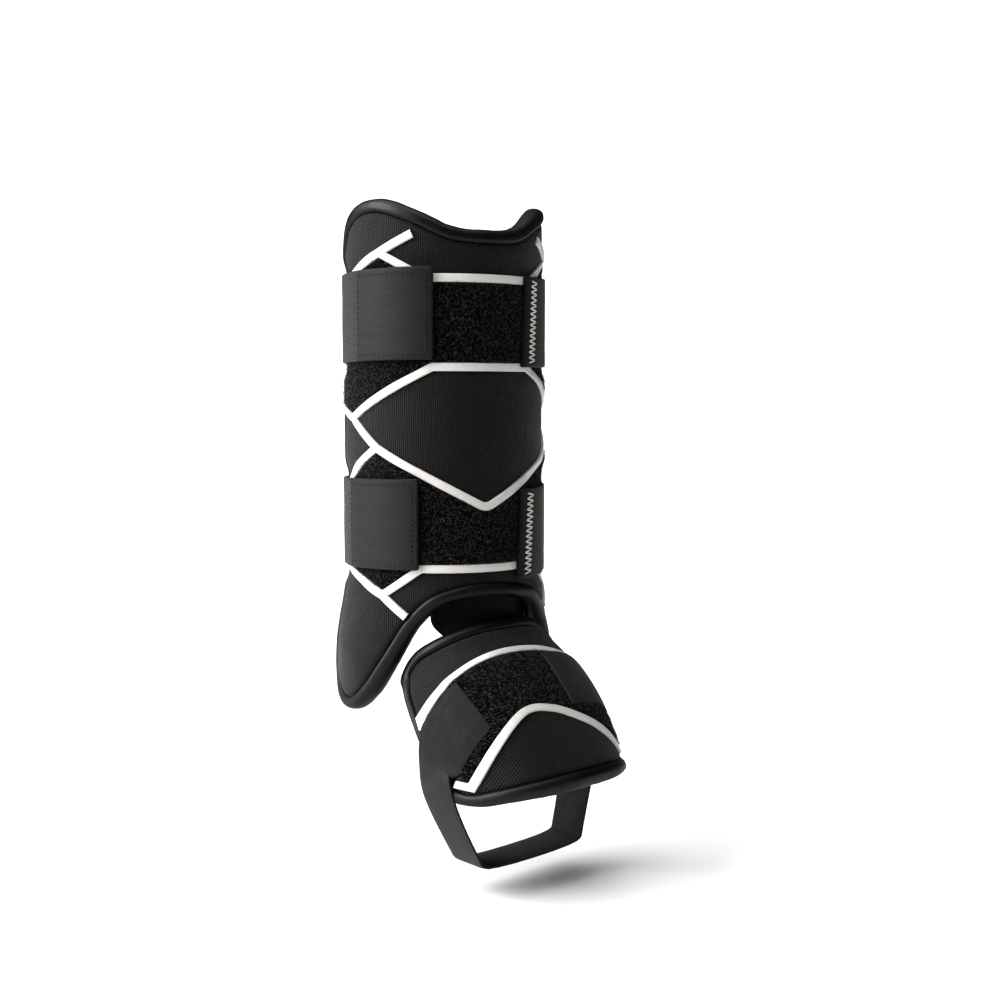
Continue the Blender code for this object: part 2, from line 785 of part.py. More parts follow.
def build_gusset():
    """The thin stretch piece between the shin's arch and the top of the foot pad, wider on the left."""
    _, liner = shell_layers()
    inside = liner[0] - GUSSET_SPACE - GUSSET_THICKNESS
    foot_middle = -(FOOT_WALL + LINER_WALL + GUSSET_THICKNESS) / 2.0
    foot_edge = foot_length() + FOOT_BINDING_WIDTH + EDGE_CLEARANCE
    sections = []
    for index in range(GUSSET_COLUMNS + 1):
        share = index / GUSSET_COLUMNS
        turn = share * (GUSSET_LEFT_WRAP + GUSSET_RIGHT_WRAP) - GUSSET_LEFT_WRAP
        arc = math.radians(FOOT_TURN + turn) * SHIN_RADIUS
        foot_arc = FOOT_HALF_ARC * turn / GUSSET_SPREAD
        outer = []
        inner = []
        for side, proud in ((outer, GUSSET_THICKNESS), (inner, 0.0)):
            for over in (GUSSET_LAP, -GUSSET_DROP):
                side.append(shin_place(arc, arch_height(arc) + over, inside + proud))
            side.append(foot_place(foot_arc, foot_edge, foot_middle + proud))
        sections.append(outer + list(reversed(inner)))
    made_object("instep_gusset", lofted_body(sections, closed=False), LINER_FINISH)


def points_between(start, end):
    """Points from a start to an end, evenly spaced across the foot strap."""
    return [start.lerp(end, index / FOOT_STRAP_COLUMNS) for index in range(FOOT_STRAP_COLUMNS + 1)]


def tab_sections(rows, side):
    """Sections of the foot strap that lie on the pad, from the tab's end outward. Side is 1 or -1."""
    seat = strap_seat() + FOOT_STRAP_SPACE
    sections = []
    for toe_arc, toe_along, shin_arc, shin_along in rows:
        toe = Vector(foot_point(toe_arc * side, toe_along))
        shin = Vector(foot_point(shin_arc * side, shin_along))
        across = points_between(toe, shin)
        inner = [foot_place(*point, seat) for point in across]
        outer = [foot_place(*point, seat + FOOT_STRAP_THICKNESS) for point in reversed(across)]
        sections.append(inner + outer)
    return sections


def free_sections():
    """Sections of the foot strap from below the pad on the right, under the sole, to below it on the left."""
    rows = [(out * RIGHT_RUN_SHARE, up, heel, toe) for out, up, heel, toe in FOOT_STRAP_RUN]
    _, _, heel, toe = rows[-1]
    rows += [(out, 0.0, heel, toe) for out in SOLE_RUN]
    rows += [(-out, up, heel, toe) for out, up, heel, toe in reversed(FOOT_STRAP_RUN)]
    rise = PAD_SIDE_HEIGHT - SOLE_HEIGHT
    edges = []
    for out, up, heel, toe in rows:
        lateral = FOOT_HALF_WIDTH * out
        height = SOLE_HEIGHT + rise * up
        toe_edge = foot_to_world(SOLE_FORWARD * toe, lateral, height)
        edges.append((toe_edge, foot_to_world(SOLE_FORWARD * heel, lateral, height)))
    sections = []
    last = len(edges) - 1
    for index, (toe, heel) in enumerate(edges):
        before = sum(edges[max(index - 1, 0)], Vector()) / 2.0
        after = sum(edges[min(index + 1, last)], Vector()) / 2.0
        inward = (after - before).cross(toe - heel).normalized() * FOOT_STRAP_THICKNESS
        inner = points_between(toe + inward, heel + inward)
        sections.append(inner + points_between(heel, toe))
    return sections


def build_foot_strap():
    """The flat strap: from the right tab on the pad, down and under the shoe, and up to the left tab."""
    sections = tab_sections(RIGHT_TAB, 1.0) + free_sections() + tab_sections(LEFT_TAB, -1.0)[::-1]
    made_object("foot_strap", lofted_body(sections, closed=False), FOOT_STRAP_FINISH)


def main():
    """Builds the whole guard."""
    for old in list(bpy.data.objects):
        bpy.data.objects.remove(old)
    build_shin_pad()
    build_trim()
    build_loop_panels()
    build_straps()
    build_foot_pad()
    build_gusset()
    build_foot_strap()


main()
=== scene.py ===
"""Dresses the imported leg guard: fine meshes for its pads, straps, trim and stitching, and their finishes.

Each soft piece is a flat pattern piece that is wrapped on one of two forms, the round form of the shin or the
arched form of the instep, in the same sizes as the solids. All lengths are in metres.
"""

import logging
import math
import random
from dataclasses import dataclass, field
from enum import Enum
from typing import Callable, Optional, Sequence, Union

import bmesh
import bpy
from mathutils import Matrix, Vector, noise


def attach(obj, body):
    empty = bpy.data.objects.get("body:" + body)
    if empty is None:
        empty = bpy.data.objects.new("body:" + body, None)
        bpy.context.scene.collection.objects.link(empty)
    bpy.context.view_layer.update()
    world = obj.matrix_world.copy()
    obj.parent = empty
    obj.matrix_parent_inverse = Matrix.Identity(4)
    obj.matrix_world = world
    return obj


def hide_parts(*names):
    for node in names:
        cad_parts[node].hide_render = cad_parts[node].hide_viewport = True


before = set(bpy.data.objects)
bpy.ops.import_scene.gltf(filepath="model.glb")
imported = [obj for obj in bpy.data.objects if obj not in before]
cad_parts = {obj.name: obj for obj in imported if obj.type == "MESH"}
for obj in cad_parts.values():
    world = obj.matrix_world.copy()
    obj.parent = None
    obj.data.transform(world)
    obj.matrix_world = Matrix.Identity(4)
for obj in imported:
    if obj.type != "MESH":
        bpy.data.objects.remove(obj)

Flat = tuple[float, float]
Place = Callable[[float, float, float], Vector]
Lift = Callable[[float, float], float]
Colour = tuple[float, float, float]

LOG = logging.getLogger("leg_guard")
PATTERN_MAP = "pattern"


class Slot(Enum):
    """Material slots of the record. Each piece is handed one, which nothing reads."""

    SHELL = "shell"
    LINER = "liner"
    BINDING = "binding"
    LOOP = "loop"
    TRIM = "trim"
    STRAP = "strap"
    HOOK = "hook"
    FOOT_STRAP = "foot_strap"


class Side(Enum):
    """The two sides of the guard, seen from its front."""

    LEFT = -1.0
    RIGHT = 1.0


# Sizes that several pieces share


@dataclass(frozen=True)
class Layers:
    """Thicknesses of the layers and the narrow gaps between them."""

    clearance: float = 0.0003
    edge_clearance: float = 0.0005
    wall: float = 0.0080
    liner_wall: float = 0.0030
    loop_pile: float = 0.0014
    trim_thickness: float = 0.0012
    trim_width: float = 0.0050
    sunk: float = 0.0006
    strap_thickness: float = 0.0018
    hook_thickness: float = 0.0008

    def liner(self) -> tuple[float, float]:
        """Heights of the liner's two faces over a form, lowest first."""
        outer = -self.wall - self.clearance
        return outer - self.liner_wall, outer

    def strap_seat(self) -> float:
        """How far over a form's surface a strap's inner face lies."""
        return self.clearance + self.loop_pile + self.clearance


LAYERS = Layers()
PAD_RIM_SHARE = 0.78
PAD_ROUNDING = 0.0032


# Small helpers for numbers and lines


def smoothed(share: float) -> float:
    """Eases from 0 to 1.

    Args:
        share: Any number. Below 0 it gives 0, and above 1 it gives 1.

    Returns:
        The eased number.
    """
    share = min(max(share, 0.0), 1.0)
    return share * share * (3.0 - 2.0 * share)


def curved(points: Sequence[Vector], steps: int, closed: bool = False) -> list[Vector]:
    """Runs a smooth curve through points.

    Args:
        points: The points, all flat or all in space.
        steps: Steps between two of them.
        closed: Whether the last point leads back to the first.

    Returns:
        The points of the curve, with the given ones among them.
    """
    last = len(points) - 1
    line: list[Vector] = []
    for index in range(last + 1 if closed else last):
        if closed:
            picked = [points[(index + offset) % (last + 1)] for offset in (-1, 0, 1, 2)]
        else:
            picked = [points[min(max(index + offset, 0), last)] for offset in (-1, 0, 1, 2)]
        before, start, end, after = picked
        for step in range(steps):
            at = step / steps
            bend = (2.0 * before - 5.0 * start + 4.0 * end - after) * at * at
            bend += (3.0 * start - before - 3.0 * end + after) * at**3
            line.append(start + 0.5 * ((end - before) * at + bend))
    if not closed:
        line.append(points[-1].copy())
    return line


def evenly(points: Sequence[Vector], spacing: float) -> list[Vector]:
    """Spreads points evenly along a closed line.

    Args:
        points: The corners of the closed line.
        spacing: The wanted distance between two points.

    Returns:
        The points, first one first.
    """
    ring = list(points) + [points[0]]
    lengths = [(end - start).length for start, end in zip(ring, ring[1:])]
    count = max(8, round(sum(lengths) / spacing))
    step = sum(lengths) / count
    spread: list[Vector] = []
    index = 0
    passed = 0.0
    for number in range(count):
        goal = number * step
        while passed + lengths[index] < goal:
            passed += lengths[index]
            index += 1
        share = (goal - passed) / lengths[index]
        spread.append(ring[index].lerp(ring[index + 1], share))
    return spread


def rounded_corner(before: Vector, corner: Vector, after: Vector, radius: float, steps: int) -> list[Vector]:
    """Rounds one corner of a flat line.

    Args:
        before: The point before the corner.
        corner: The corner itself.
        after: The point after the corner.
        radius: The radius of the round.
        steps: The number of steps round it.

    Returns:
        The points of the round, in order.
    """
    back = (before - corner).normalized()
    ahead = (after - corner).normalized()
    half = back.angle(ahead) / 2.0
    reach = radius / math.tan(half)
    start = corner + back * reach
    end = corner + ahead * reach
    middle = corner + (back + ahead).normalized() * (radius / math.sin(half))
    first = start - middle
    turn = first.angle_signed(end - middle)
    return [middle + Matrix.Rotation(-turn * step / steps, 2) @ first for step in range(steps + 1)]


def rounded_rectangle(
    left: float, right: float, low: float, high: float, corners: Sequence[float], steps: int
) -> list[Flat]:
    """Outlines a rectangle with rounded corners, anticlockwise.

    Args:
        left: Its left side.
        right: Its right side.
        low: Its lower side.
        high: Its upper side.
        corners: Four corner radii, from the lower right one on.
        steps: Steps round each corner.

    Returns:
        The outline.
    """
    sides = (
        (right, low, -1.0, 1.0),
        (right, high, -1.0, -1.0),
        (left, high, 1.0, -1.0),
        (left, low, 1.0, 1.0),
    )
    outline: list[Flat] = []
    for index, (across, up, inward, upward) in enumerate(sides):
        corner = corners[index]
        for step in range(steps + 1):
            angle = math.radians(90.0 * (index - 1.0 + step / steps))
            middle = (across + inward * corner, up + upward * corner)
            outline.append((middle[0] + corner * math.cos(angle), middle[1] + corner * math.sin(angle)))
    return outline


def moved_in(outline: Sequence[Flat], distance: float) -> list[Flat]:
    """Moves an anticlockwise outline inward, with its corners mitred.

    Args:
        outline: The outline.
        distance: How far it moves.

    Returns:
        The smaller outline, point for point.
    """
    moved: list[Flat] = []
    count = len(outline)
    for index, point in enumerate(outline):
        here = Vector(point)
        back = (here - Vector(outline[index - 1])).normalized()
        ahead = (Vector(outline[(index + 1) % count]) - here).normalized()
        inward = Vector((-back.y - ahead.y, back.x + ahead.x)).normalized()
        reach = distance / max(inward.dot(Vector((-back.y, back.x))), 0.2)
        moved.append(tuple(here + inward * reach))
    return moved


def unevenness(point: Vector, size: float) -> float:
    """A gentle unevenness that depends only on the place.

    Args:
        point: A point in space.
        size: The size of its soft bumps.

    Returns:
        A number from about -1 to 1.
    """
    return noise.noise(point / size)


# The two forms that the pieces are wrapped on


@dataclass(frozen=True)
class ShinForm:
    """The round form of the shin, slightly flared at the wings and drawn in under the straps."""

    radius: float = 0.0600
    half_wrap: float = 110.0
    foot: float = -0.1425
    height: float = 0.2860
    flare: float = 0.0064
    flare_heights: Flat = (0.26, 0.08)
    flare_sides: Flat = (0.36, 0.73)
    lean: float = 0.10
    lean_heights: Flat = (0.36, 0.22)
    recess: float = 0.0020
    recess_blend: float = 0.0100
    strap_width: float = 0.0530
    bands: tuple[Flat, ...] = ((0.0848, 0.0040), (-0.0365, 0.0075))

    def point(self, wrap_share: float, height_share: float) -> Vector:
        """A flat point of the pattern.

        Args:
            wrap_share: Share of the half wrap, to the right of the middle.
            height_share: Share of the height, from the foot up.

        Returns:
            Arc length from the middle, and height.
        """
        high, low = self.lean_heights
        down = smoothed((high - height_share) / (high - low))
        lean = 4.0 * self.lean * down * max(wrap_share, 0.0) * (1.0 - wrap_share)
        arc = math.radians(self.half_wrap * (wrap_share + lean)) * self.radius
        return Vector((arc, self.foot + self.height * height_share))

    def place(self, arc: float, height: float, proud: float) -> Vector:
        """A point on the form.

        Args:
            arc: Arc length to the right of the middle.
            height: Height in the guard's own frame.
            proud: Height over the form's surface.

        Returns:
            The point in space.
        """
        angle = arc / self.radius
        start, end = self.flare_sides
        side = (abs(angle) / math.radians(self.half_wrap) - start) / (end - start)
        high, low = self.flare_heights
        down = (high - (height - self.foot) / self.height) / (high - low)
        reach = self.radius + self.flare * smoothed(side) * smoothed(down) + proud
        for middle, fall in self.bands:
            past = abs(height - middle + fall / 2.0) - (self.strap_width + fall) / 2.0
            reach -= self.recess * (1.0 - smoothed(past / self.recess_blend))
        return Vector((reach * math.sin(angle), -reach * math.cos(angle), height))


@dataclass(frozen=True)
class FootForm:
    """The arched form of the instep, turned with the foot."""

    turn: float = 16.0
    top_forward: float = 0.0584
    top_height: float = -0.0986
    run: float = 0.0660
    drop: float = 0.0722
    half_width: float = 0.0610
    setback: float = 0.0530
    sink: float = 0.0260
    bulge: float = 0.0060
    fullness: float = 1.35
    side_angle: float = 75.0
    half_arc: float = 0.0680
    right_share: float = 0.74
    normal_step: float = 0.0010
    sections: tuple[tuple[float, ...], ...] = (
        (0.00, 0.82, 0.66, 0.90),
        (0.33, 0.95, 0.89, 0.68),
        (0.67, 1.00, 0.96, 0.64),
        (1.00, 0.95, 0.93, 0.66),
    )

    def length(self) -> float:
        """The pad's length along its middle."""
        return math.hypot(self.run, self.drop)

    def point(self, arc_share: float, along_share: float) -> Vector:
        """A flat point of the pattern: arc from the middle, and distance from the toe end."""
        return Vector((self.half_arc * arc_share, self.length() * along_share))

    def section(self, share: float) -> list[float]:
        """Mixes the cross sections.

        Args:
            share: Share of the length, from the top of the pad.

        Returns:
            Shares of the half width, the setback and the sink there.
        """
        last = len(self.sections) - 1
        index = 0
        while index < last - 1 and share > self.sections[index + 1][0]:
            index += 1
        rows = [self.sections[min(max(index + offset, 0), last)] for offset in (-1, 0, 1, 2)]
        at = (share - rows[1][0]) / (rows[2][0] - rows[1][0])
        mixed = []
        for p, q, r, s in list(zip(*rows))[1:]:
            bend = (2.0 * p - 5.0 * q + 4.0 * r - s) * at * at + (3.0 * q - p - 3.0 * r + s) * at**3
            mixed.append(q + 0.5 * ((r - p) * at + bend))
        return mixed

    def to_world(self, forward: float, lateral: float, height: float) -> Vector:
        """A point given along the foot, to the right of its middle, and up.

        Args:
            forward: How far along the foot, towards the toe.
            lateral: How far to the right.
            height: Its height in the frame.

        Returns:
            The point in the frame.
        """
        turn = math.radians(self.turn)
        right = lateral * math.cos(turn) + forward * math.sin(turn)
        back = lateral * math.sin(turn) - forward * math.cos(turn)
        return Vector((right, back, height))

    def skin(self, arc: float, along: float) -> Vector:
        """A point of the form's surface.

        Args:
            arc: Arc length to the right of the middle.
            along: Distance from the toe end.

        Returns:
            The point in space.
        """
        share = 1.0 - along / self.length()
        width, setback, sink = self.section(share)
        side = math.radians(self.side_angle)
        angle = arc / self.half_arc * side
        fall = ((1.0 - math.cos(angle)) / (1.0 - math.cos(side))) ** self.fullness
        lateral = self.half_width * width * math.sin(angle) / math.sin(side)
        bulge = self.bulge * math.sin(math.pi * min(max(share, 0.0), 1.0)) / self.length()
        forward = self.top_forward + self.run * share + self.drop * bulge
        height = self.top_height - self.drop * share + self.run * bulge
        forward -= self.setback * setback * fall
        height -= self.sink * sink * fall
        return self.to_world(forward, lateral, height)

    def place(self, arc: float, along: float, proud: float) -> Vector:
        """A point over the form's surface.

        Args:
            arc: Arc length to the right of the middle.
            along: Distance from the toe end.
            proud: Height over the surface.

        Returns:
            The point in space.
        """
        step = self.normal_step
        across = self.skin(arc + step, along) - self.skin(arc - step, along)
        upward = self.skin(arc, along + step) - self.skin(arc, along - step)
        return self.skin(arc, along) + across.cross(upward).normalized() * proud


SHIN = ShinForm()
FOOT = FootForm()


# Meshes


@dataclass(frozen=True)
class Profile:
    """How a flat piece rises from its edge: its inner face, its full height and its rounded rim."""

    inner: float
    outer: float
    rim_share: float = 0.35
    rounding: float = 0.0012

    def height(self, inset: float) -> float:
        """The outer face's height over the form, at a distance in from the edge.

        Args:
            inset: The distance in from the edge.

        Returns:
            The height.
        """
        rim = self.inner + (self.outer - self.inner) * self.rim_share
        share = min(max(inset / self.rounding, 0.0), 1.0)
        return rim + (self.outer - rim) * math.sqrt(max(0.0, 1.0 - (1.0 - share) ** 2))

    def rings(self) -> tuple[float, ...]:
        """Distances in from the edge where the piece needs a row of points."""
        return (0.0, self.rounding * 0.12, self.rounding * 0.45, self.rounding)


PAD_PROFILE = Profile(-LAYERS.wall, 0.0, PAD_RIM_SHARE, PAD_ROUNDING)
LINE_PROFILE = Profile(
    LAYERS.clearance - LAYERS.sunk, LAYERS.clearance + LAYERS.trim_thickness, rim_share=0.55, rounding=0.0007
)


class PatternPiece:
    """A flat piece of the pattern, whose points know how far in from its edge they lie."""

    def __init__(self) -> None:
        """Starts an empty piece."""
        self.mesh = bmesh.new()
        self.inset = self.mesh.verts.layers.float.new("inset")

    def point(self, at: Sequence[float], inset: float) -> bmesh.types.BMVert:
        """Adds one point.

        Args:
            at: Its flat place.
            inset: Its distance in from the edge.

        Returns:
            The new point.
        """
        made = self.mesh.verts.new((at[0], at[1], 0.0))
        made[self.inset] = inset
        return made

    @classmethod
    def cut_out(cls, outline: Sequence[Flat], rings: Sequence[float]) -> "PatternPiece":
        """Cuts a piece out along an outline.

        Args:
            outline: The outline, anticlockwise.
            rings: Distances in from the edge where rows of points lie, from 0 up.

        Returns:
            The piece.
        """
        piece = cls()
        loops = [[piece.point(at, ring) for at in moved_in(outline, ring)] for ring in rings]
        count = len(outline)
        for outer, inner in zip(loops, loops[1:]):
            for index in range(count):
                following = (index + 1) % count
                piece.mesh.faces.new([outer[index], outer[following], inner[following], inner[index]])
        piece.mesh.faces.new(loops[-1])
        return piece

    @classmethod
    def strips(
        cls, points: dict, lines: Sequence[tuple], width: float, rings: Sequence[float]
    ) -> "PatternPiece":
        """Lays strips of one width along lines, mitred where they meet.

        Args:
            points: Flat points by name.
            lines: Pairs of names.
            width: The strips' width.
            rings: Distances in from the edge where rows of points lie, from 0 up.

        Returns:
            The piece.
        """
        piece = cls()
        sides: dict = {}
        for name, here in points.items():
            others = [b if a == name else a for a, b in lines if name in (a, b)]
            ways = {other: (points[other] - here).normalized() for other in others}
            others.sort(key=lambda other: math.atan2(ways[other].y, ways[other].x))
            if len(others) == 1:
                way = ways[others[0]]
                across = Vector((-way.y, way.x))
                right = [piece.point(here - across * (width / 2.0 - ring), ring) for ring in rings]
                left = [piece.point(here + across * (width / 2.0 - ring), ring) for ring in rings]
                sides[name, others[0]] = (right, left)
                continue
            corners = []
            for index, other in enumerate(others):
                way = ways[other]
                following = ways[others[(index + 1) % len(others)]]
                turn = (math.atan2(following.y, following.x) - math.atan2(way.y, way.x)) % math.tau
                heading = math.atan2(way.y, way.x) + turn / 2.0
                corner = Vector((math.cos(heading), math.sin(heading))) / math.sin(turn / 2.0)
                corners.append([piece.point(here + corner * (width / 2.0 - ring), ring) for ring in rings])
            for index, other in enumerate(others):
                sides[name, other] = (corners[index - 1], corners[index])
            if len(corners) > 2:
                piece.mesh.faces.new([corner[-1] for corner in corners])
        for first, second in lines:
            right, left = sides[first, second]
            far_right, far_left = sides[second, first]
            piece.mesh.faces.new([right[-1], far_left[-1], far_right[-1], left[-1]])
            for ring in range(len(rings) - 1):
                piece.mesh.faces.new([right[ring], far_left[ring], far_left[ring + 1], right[ring + 1]])
                piece.mesh.faces.new([left[ring + 1], far_right[ring + 1], far_right[ring], left[ring]])
        return piece

    def divide(self, axis: int, step: float) -> "PatternPiece":
        """Cuts the piece straight across at even places.

        Args:
            axis: 0 to cut at places to the side, 1 at places up.
            step: The distance between two cuts.

        Returns:
            The piece itself.
        """
        reach = [vert.co[axis] for vert in self.mesh.verts]
        for index in range(math.ceil(min(reach) / step), math.floor(max(reach) / step) + 1):
            place = Vector((0.0, 0.0, 0.0))
            place[axis] = index * step
            normal = Vector((0.0, 0.0, 0.0))
            normal[axis] = 1.0
            everything = self.mesh.verts[:] + self.mesh.edges[:] + self.mesh.faces[:]
            bmesh.ops.bisect_plane(
                self.mesh, geom=everything, plane_co=place, plane_no=normal, dist=step * 0.03
            )
        return self

    def wrapped(self, place: Place, profile: Profile, lift: Optional[Lift] = None) -> bmesh.types.BMesh:
        """Wraps the piece on a form as a closed body.

        Args:
            place: The form.
            profile: The heights of its faces over the form.
            lift: What is added to the outer face's height at a flat point.

        Returns:
            The body, with the flat pattern as its map.
        """
        body = bmesh.new()
        pattern = body.loops.layers.uv.new(PATTERN_MAP)
        flat: dict = {}
        low: dict = {}
        high: dict = {}
        for vert in self.mesh.verts:
            across, up = vert.co.x, vert.co.y
            proud = profile.height(vert[self.inset])
            if lift is not None:
                proud += lift(across, up)
            for side, at in ((low, profile.inner), (high, proud)):
                side[vert] = body.verts.new(place(across, up, at))
                flat[side[vert]] = (across, up)
        for face in self.mesh.faces:
            body.faces.new([high[vert] for vert in face.verts])
            body.faces.new([low[vert] for vert in reversed(face.verts)])
        for edge in self.mesh.edges:
            if edge.is_boundary:
                loop = edge.link_loops[0]
                first, second = loop.vert, loop.link_loop_next.vert
                body.faces.new([low[first], low[second], high[second], high[first]])
        for face in body.faces:
            for loop in face.loops:
                loop[pattern].uv = flat[loop.vert]
        self.mesh.free()
        return body


def wrapped_sheet(
    outline: Sequence[Flat], profile: Profile, grid: float, place: Place, lift: Optional[Lift] = None
) -> bmesh.types.BMesh:
    """Cuts a sheet out and wraps it on a form.

    Args:
        outline: Its flat outline, anticlockwise.
        profile: The heights of its faces over the form.
        grid: The distance between its rows of points.
        place: The form.
        lift: What is added to the outer face's height at a flat point.

    Returns:
        The closed body.
    """
    sheet = PatternPiece.cut_out(outline, profile.rings())
    sheet.divide(0, grid).divide(1, grid)
    return sheet.wrapped(place, profile, lift)


def lofted(
    rings: Sequence[Sequence[Vector]], flats: Sequence[Sequence[Flat]], closed: bool
) -> bmesh.types.BMesh:
    """Skins a row of rings.

    Args:
        rings: Rings of points, all with the same number of points.
        flats: The flat pattern's place of each point.
        closed: Whether the last ring joins the first. Otherwise both ends are capped.

    Returns:
        The body, with the flat pattern as its map.
    """
    body = bmesh.new()
    pattern = body.loops.layers.uv.new(PATTERN_MAP)
    flat: dict = {}
    made = []
    for ring, places in zip(rings, flats):
        verts = [body.verts.new(point) for point in ring]
        flat.update(zip(verts, places))
        made.append(verts)
    pairs = list(zip(made, made[1:]))
    if closed:
        pairs.append((made[-1], made[0]))
    else:
        body.faces.new(made[0])
        body.faces.new(list(reversed(made[-1])))
    for near, far in pairs:
        for index in range(len(near)):
            following = (index + 1) % len(near)
            body.faces.new([near[index], near[following], far[following], far[index]])
    for face in body.faces:
        for loop in face.loops:
            loop[pattern].uv = flat[loop.vert]
    return body


def thread_tube(body: bmesh.types.BMesh, line: Sequence[Vector], radius: float, sides: int) -> None:
    """Adds a tube of thread along a line.

    Args:
        body: The mesh that the tube is added to.
        line: The points of the line.
        radius: The thread's radius.
        sides: The number of its sides.
    """
    rings = []
    across = Vector((0.0, 0.0, 1.0))
    last = len(line) - 1
    for index, point in enumerate(line):
        along = (line[min(index + 1, last)] - line[max(index - 1, 0)]).normalized()
        across = (across - along * across.dot(along)).normalized()
        other = along.cross(across)
        size = radius * (0.45 if index in (0, last) else 1.0)
        ring = []
        for side in range(sides):
            angle = math.tau * side / sides
            ring.append(body.verts.new(point + (across * math.cos(angle) + other * math.sin(angle)) * size))
        rings.append(ring)
    body.faces.new(list(reversed(rings[0])))
    body.faces.new(rings[-1])
    for near, far in zip(rings, rings[1:]):
        for side in range(sides):
            following = (side + 1) % sides
            body.faces.new([near[side], near[following], far[following], far[side]])


def shown(
    name: str, body: bmesh.types.BMesh, finish: bpy.types.Material, slot: Slot, nodes: Sequence[str] = ()
) -> bpy.types.Object:
    """Makes a piece of the guard from a mesh.

    Args:
        name: The piece's name.
        body: Its mesh, which is used up.
        finish: Its material.
        slot: Not used.
        nodes: The solids that it stands for.

    Returns:
        The piece, which rides on the guard.
    """
    bmesh.ops.recalc_face_normals(body, faces=body.faces[:])
    mesh = bpy.data.meshes.new(name)
    body.to_mesh(mesh)
    body.free()
    mesh.shade_smooth()
    mesh.set_sharp_from_angle(angle=math.radians(62.0))
    mesh.materials.append(finish)
    piece = bpy.data.objects.new(name, mesh)
    bpy.context.scene.collection.objects.link(piece)
    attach(piece, "root")
    if nodes:
        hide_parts(*nodes)
    return piece


# Shader maths


Number = Union["Value", float]


class Value:
    """A number, vector or colour that a material's nodes work out. Its operators add Math nodes."""

    def __init__(self, tree: bpy.types.NodeTree, output: bpy.types.NodeSocket) -> None:
        """Wraps a node's output."""
        self.tree = tree
        self.output = output

    def maths(self, operation: str, *values: Number) -> "Value":
        """Adds a Math node.

        Args:
            operation: The node's operation.
            values: Its inputs in order.

        Returns:
            The node's result.
        """
        node = self.tree.nodes.new("ShaderNodeMath")
        node.operation = operation
        for socket, value in zip(node.inputs, values):
            feed(self.tree, socket, value)
        return Value(self.tree, node.outputs[0])

    def __add__(self, other: Number) -> "Value":
        """Self plus other."""
        return self.maths("ADD", self, other)

    def __radd__(self, other: Number) -> "Value":
        """Other plus self."""
        return self.maths("ADD", other, self)

    def __sub__(self, other: Number) -> "Value":
        """Self minus other."""
        return self.maths("SUBTRACT", self, other)

    def __rsub__(self, other: Number) -> "Value":
        """Other minus self."""
        return self.maths("SUBTRACT", other, self)

    def __mul__(self, other: Number) -> "Value":
        """Self times other."""
        return self.maths("MULTIPLY", self, other)

    def sine(self) -> "Value":
        """The sine of self, in radians."""
        return self.maths("SINE", self)

    def size(self) -> "Value":
        """Self without its sign."""
        return self.maths("ABSOLUTE", self)

    def at_least(self, other: Number) -> "Value":
        """The larger of self and other."""
        return self.maths("MAXIMUM", self, other)

    def at_most(self, other: Number) -> "Value":
        """The smaller of self and other."""
        return self.maths("MINIMUM", self, other)


def feed(tree: bpy.types.NodeTree, socket: bpy.types.NodeSocket, value: object) -> None:
    """Gives a socket its value or its link.

    Args:
        tree: The node tree.
        socket: The input.
        value: A Value to link, or a number, vector or colour to set.
    """
    if isinstance(value, Value):
        tree.links.new(value.output, socket)
    else:
        socket.default_value = value


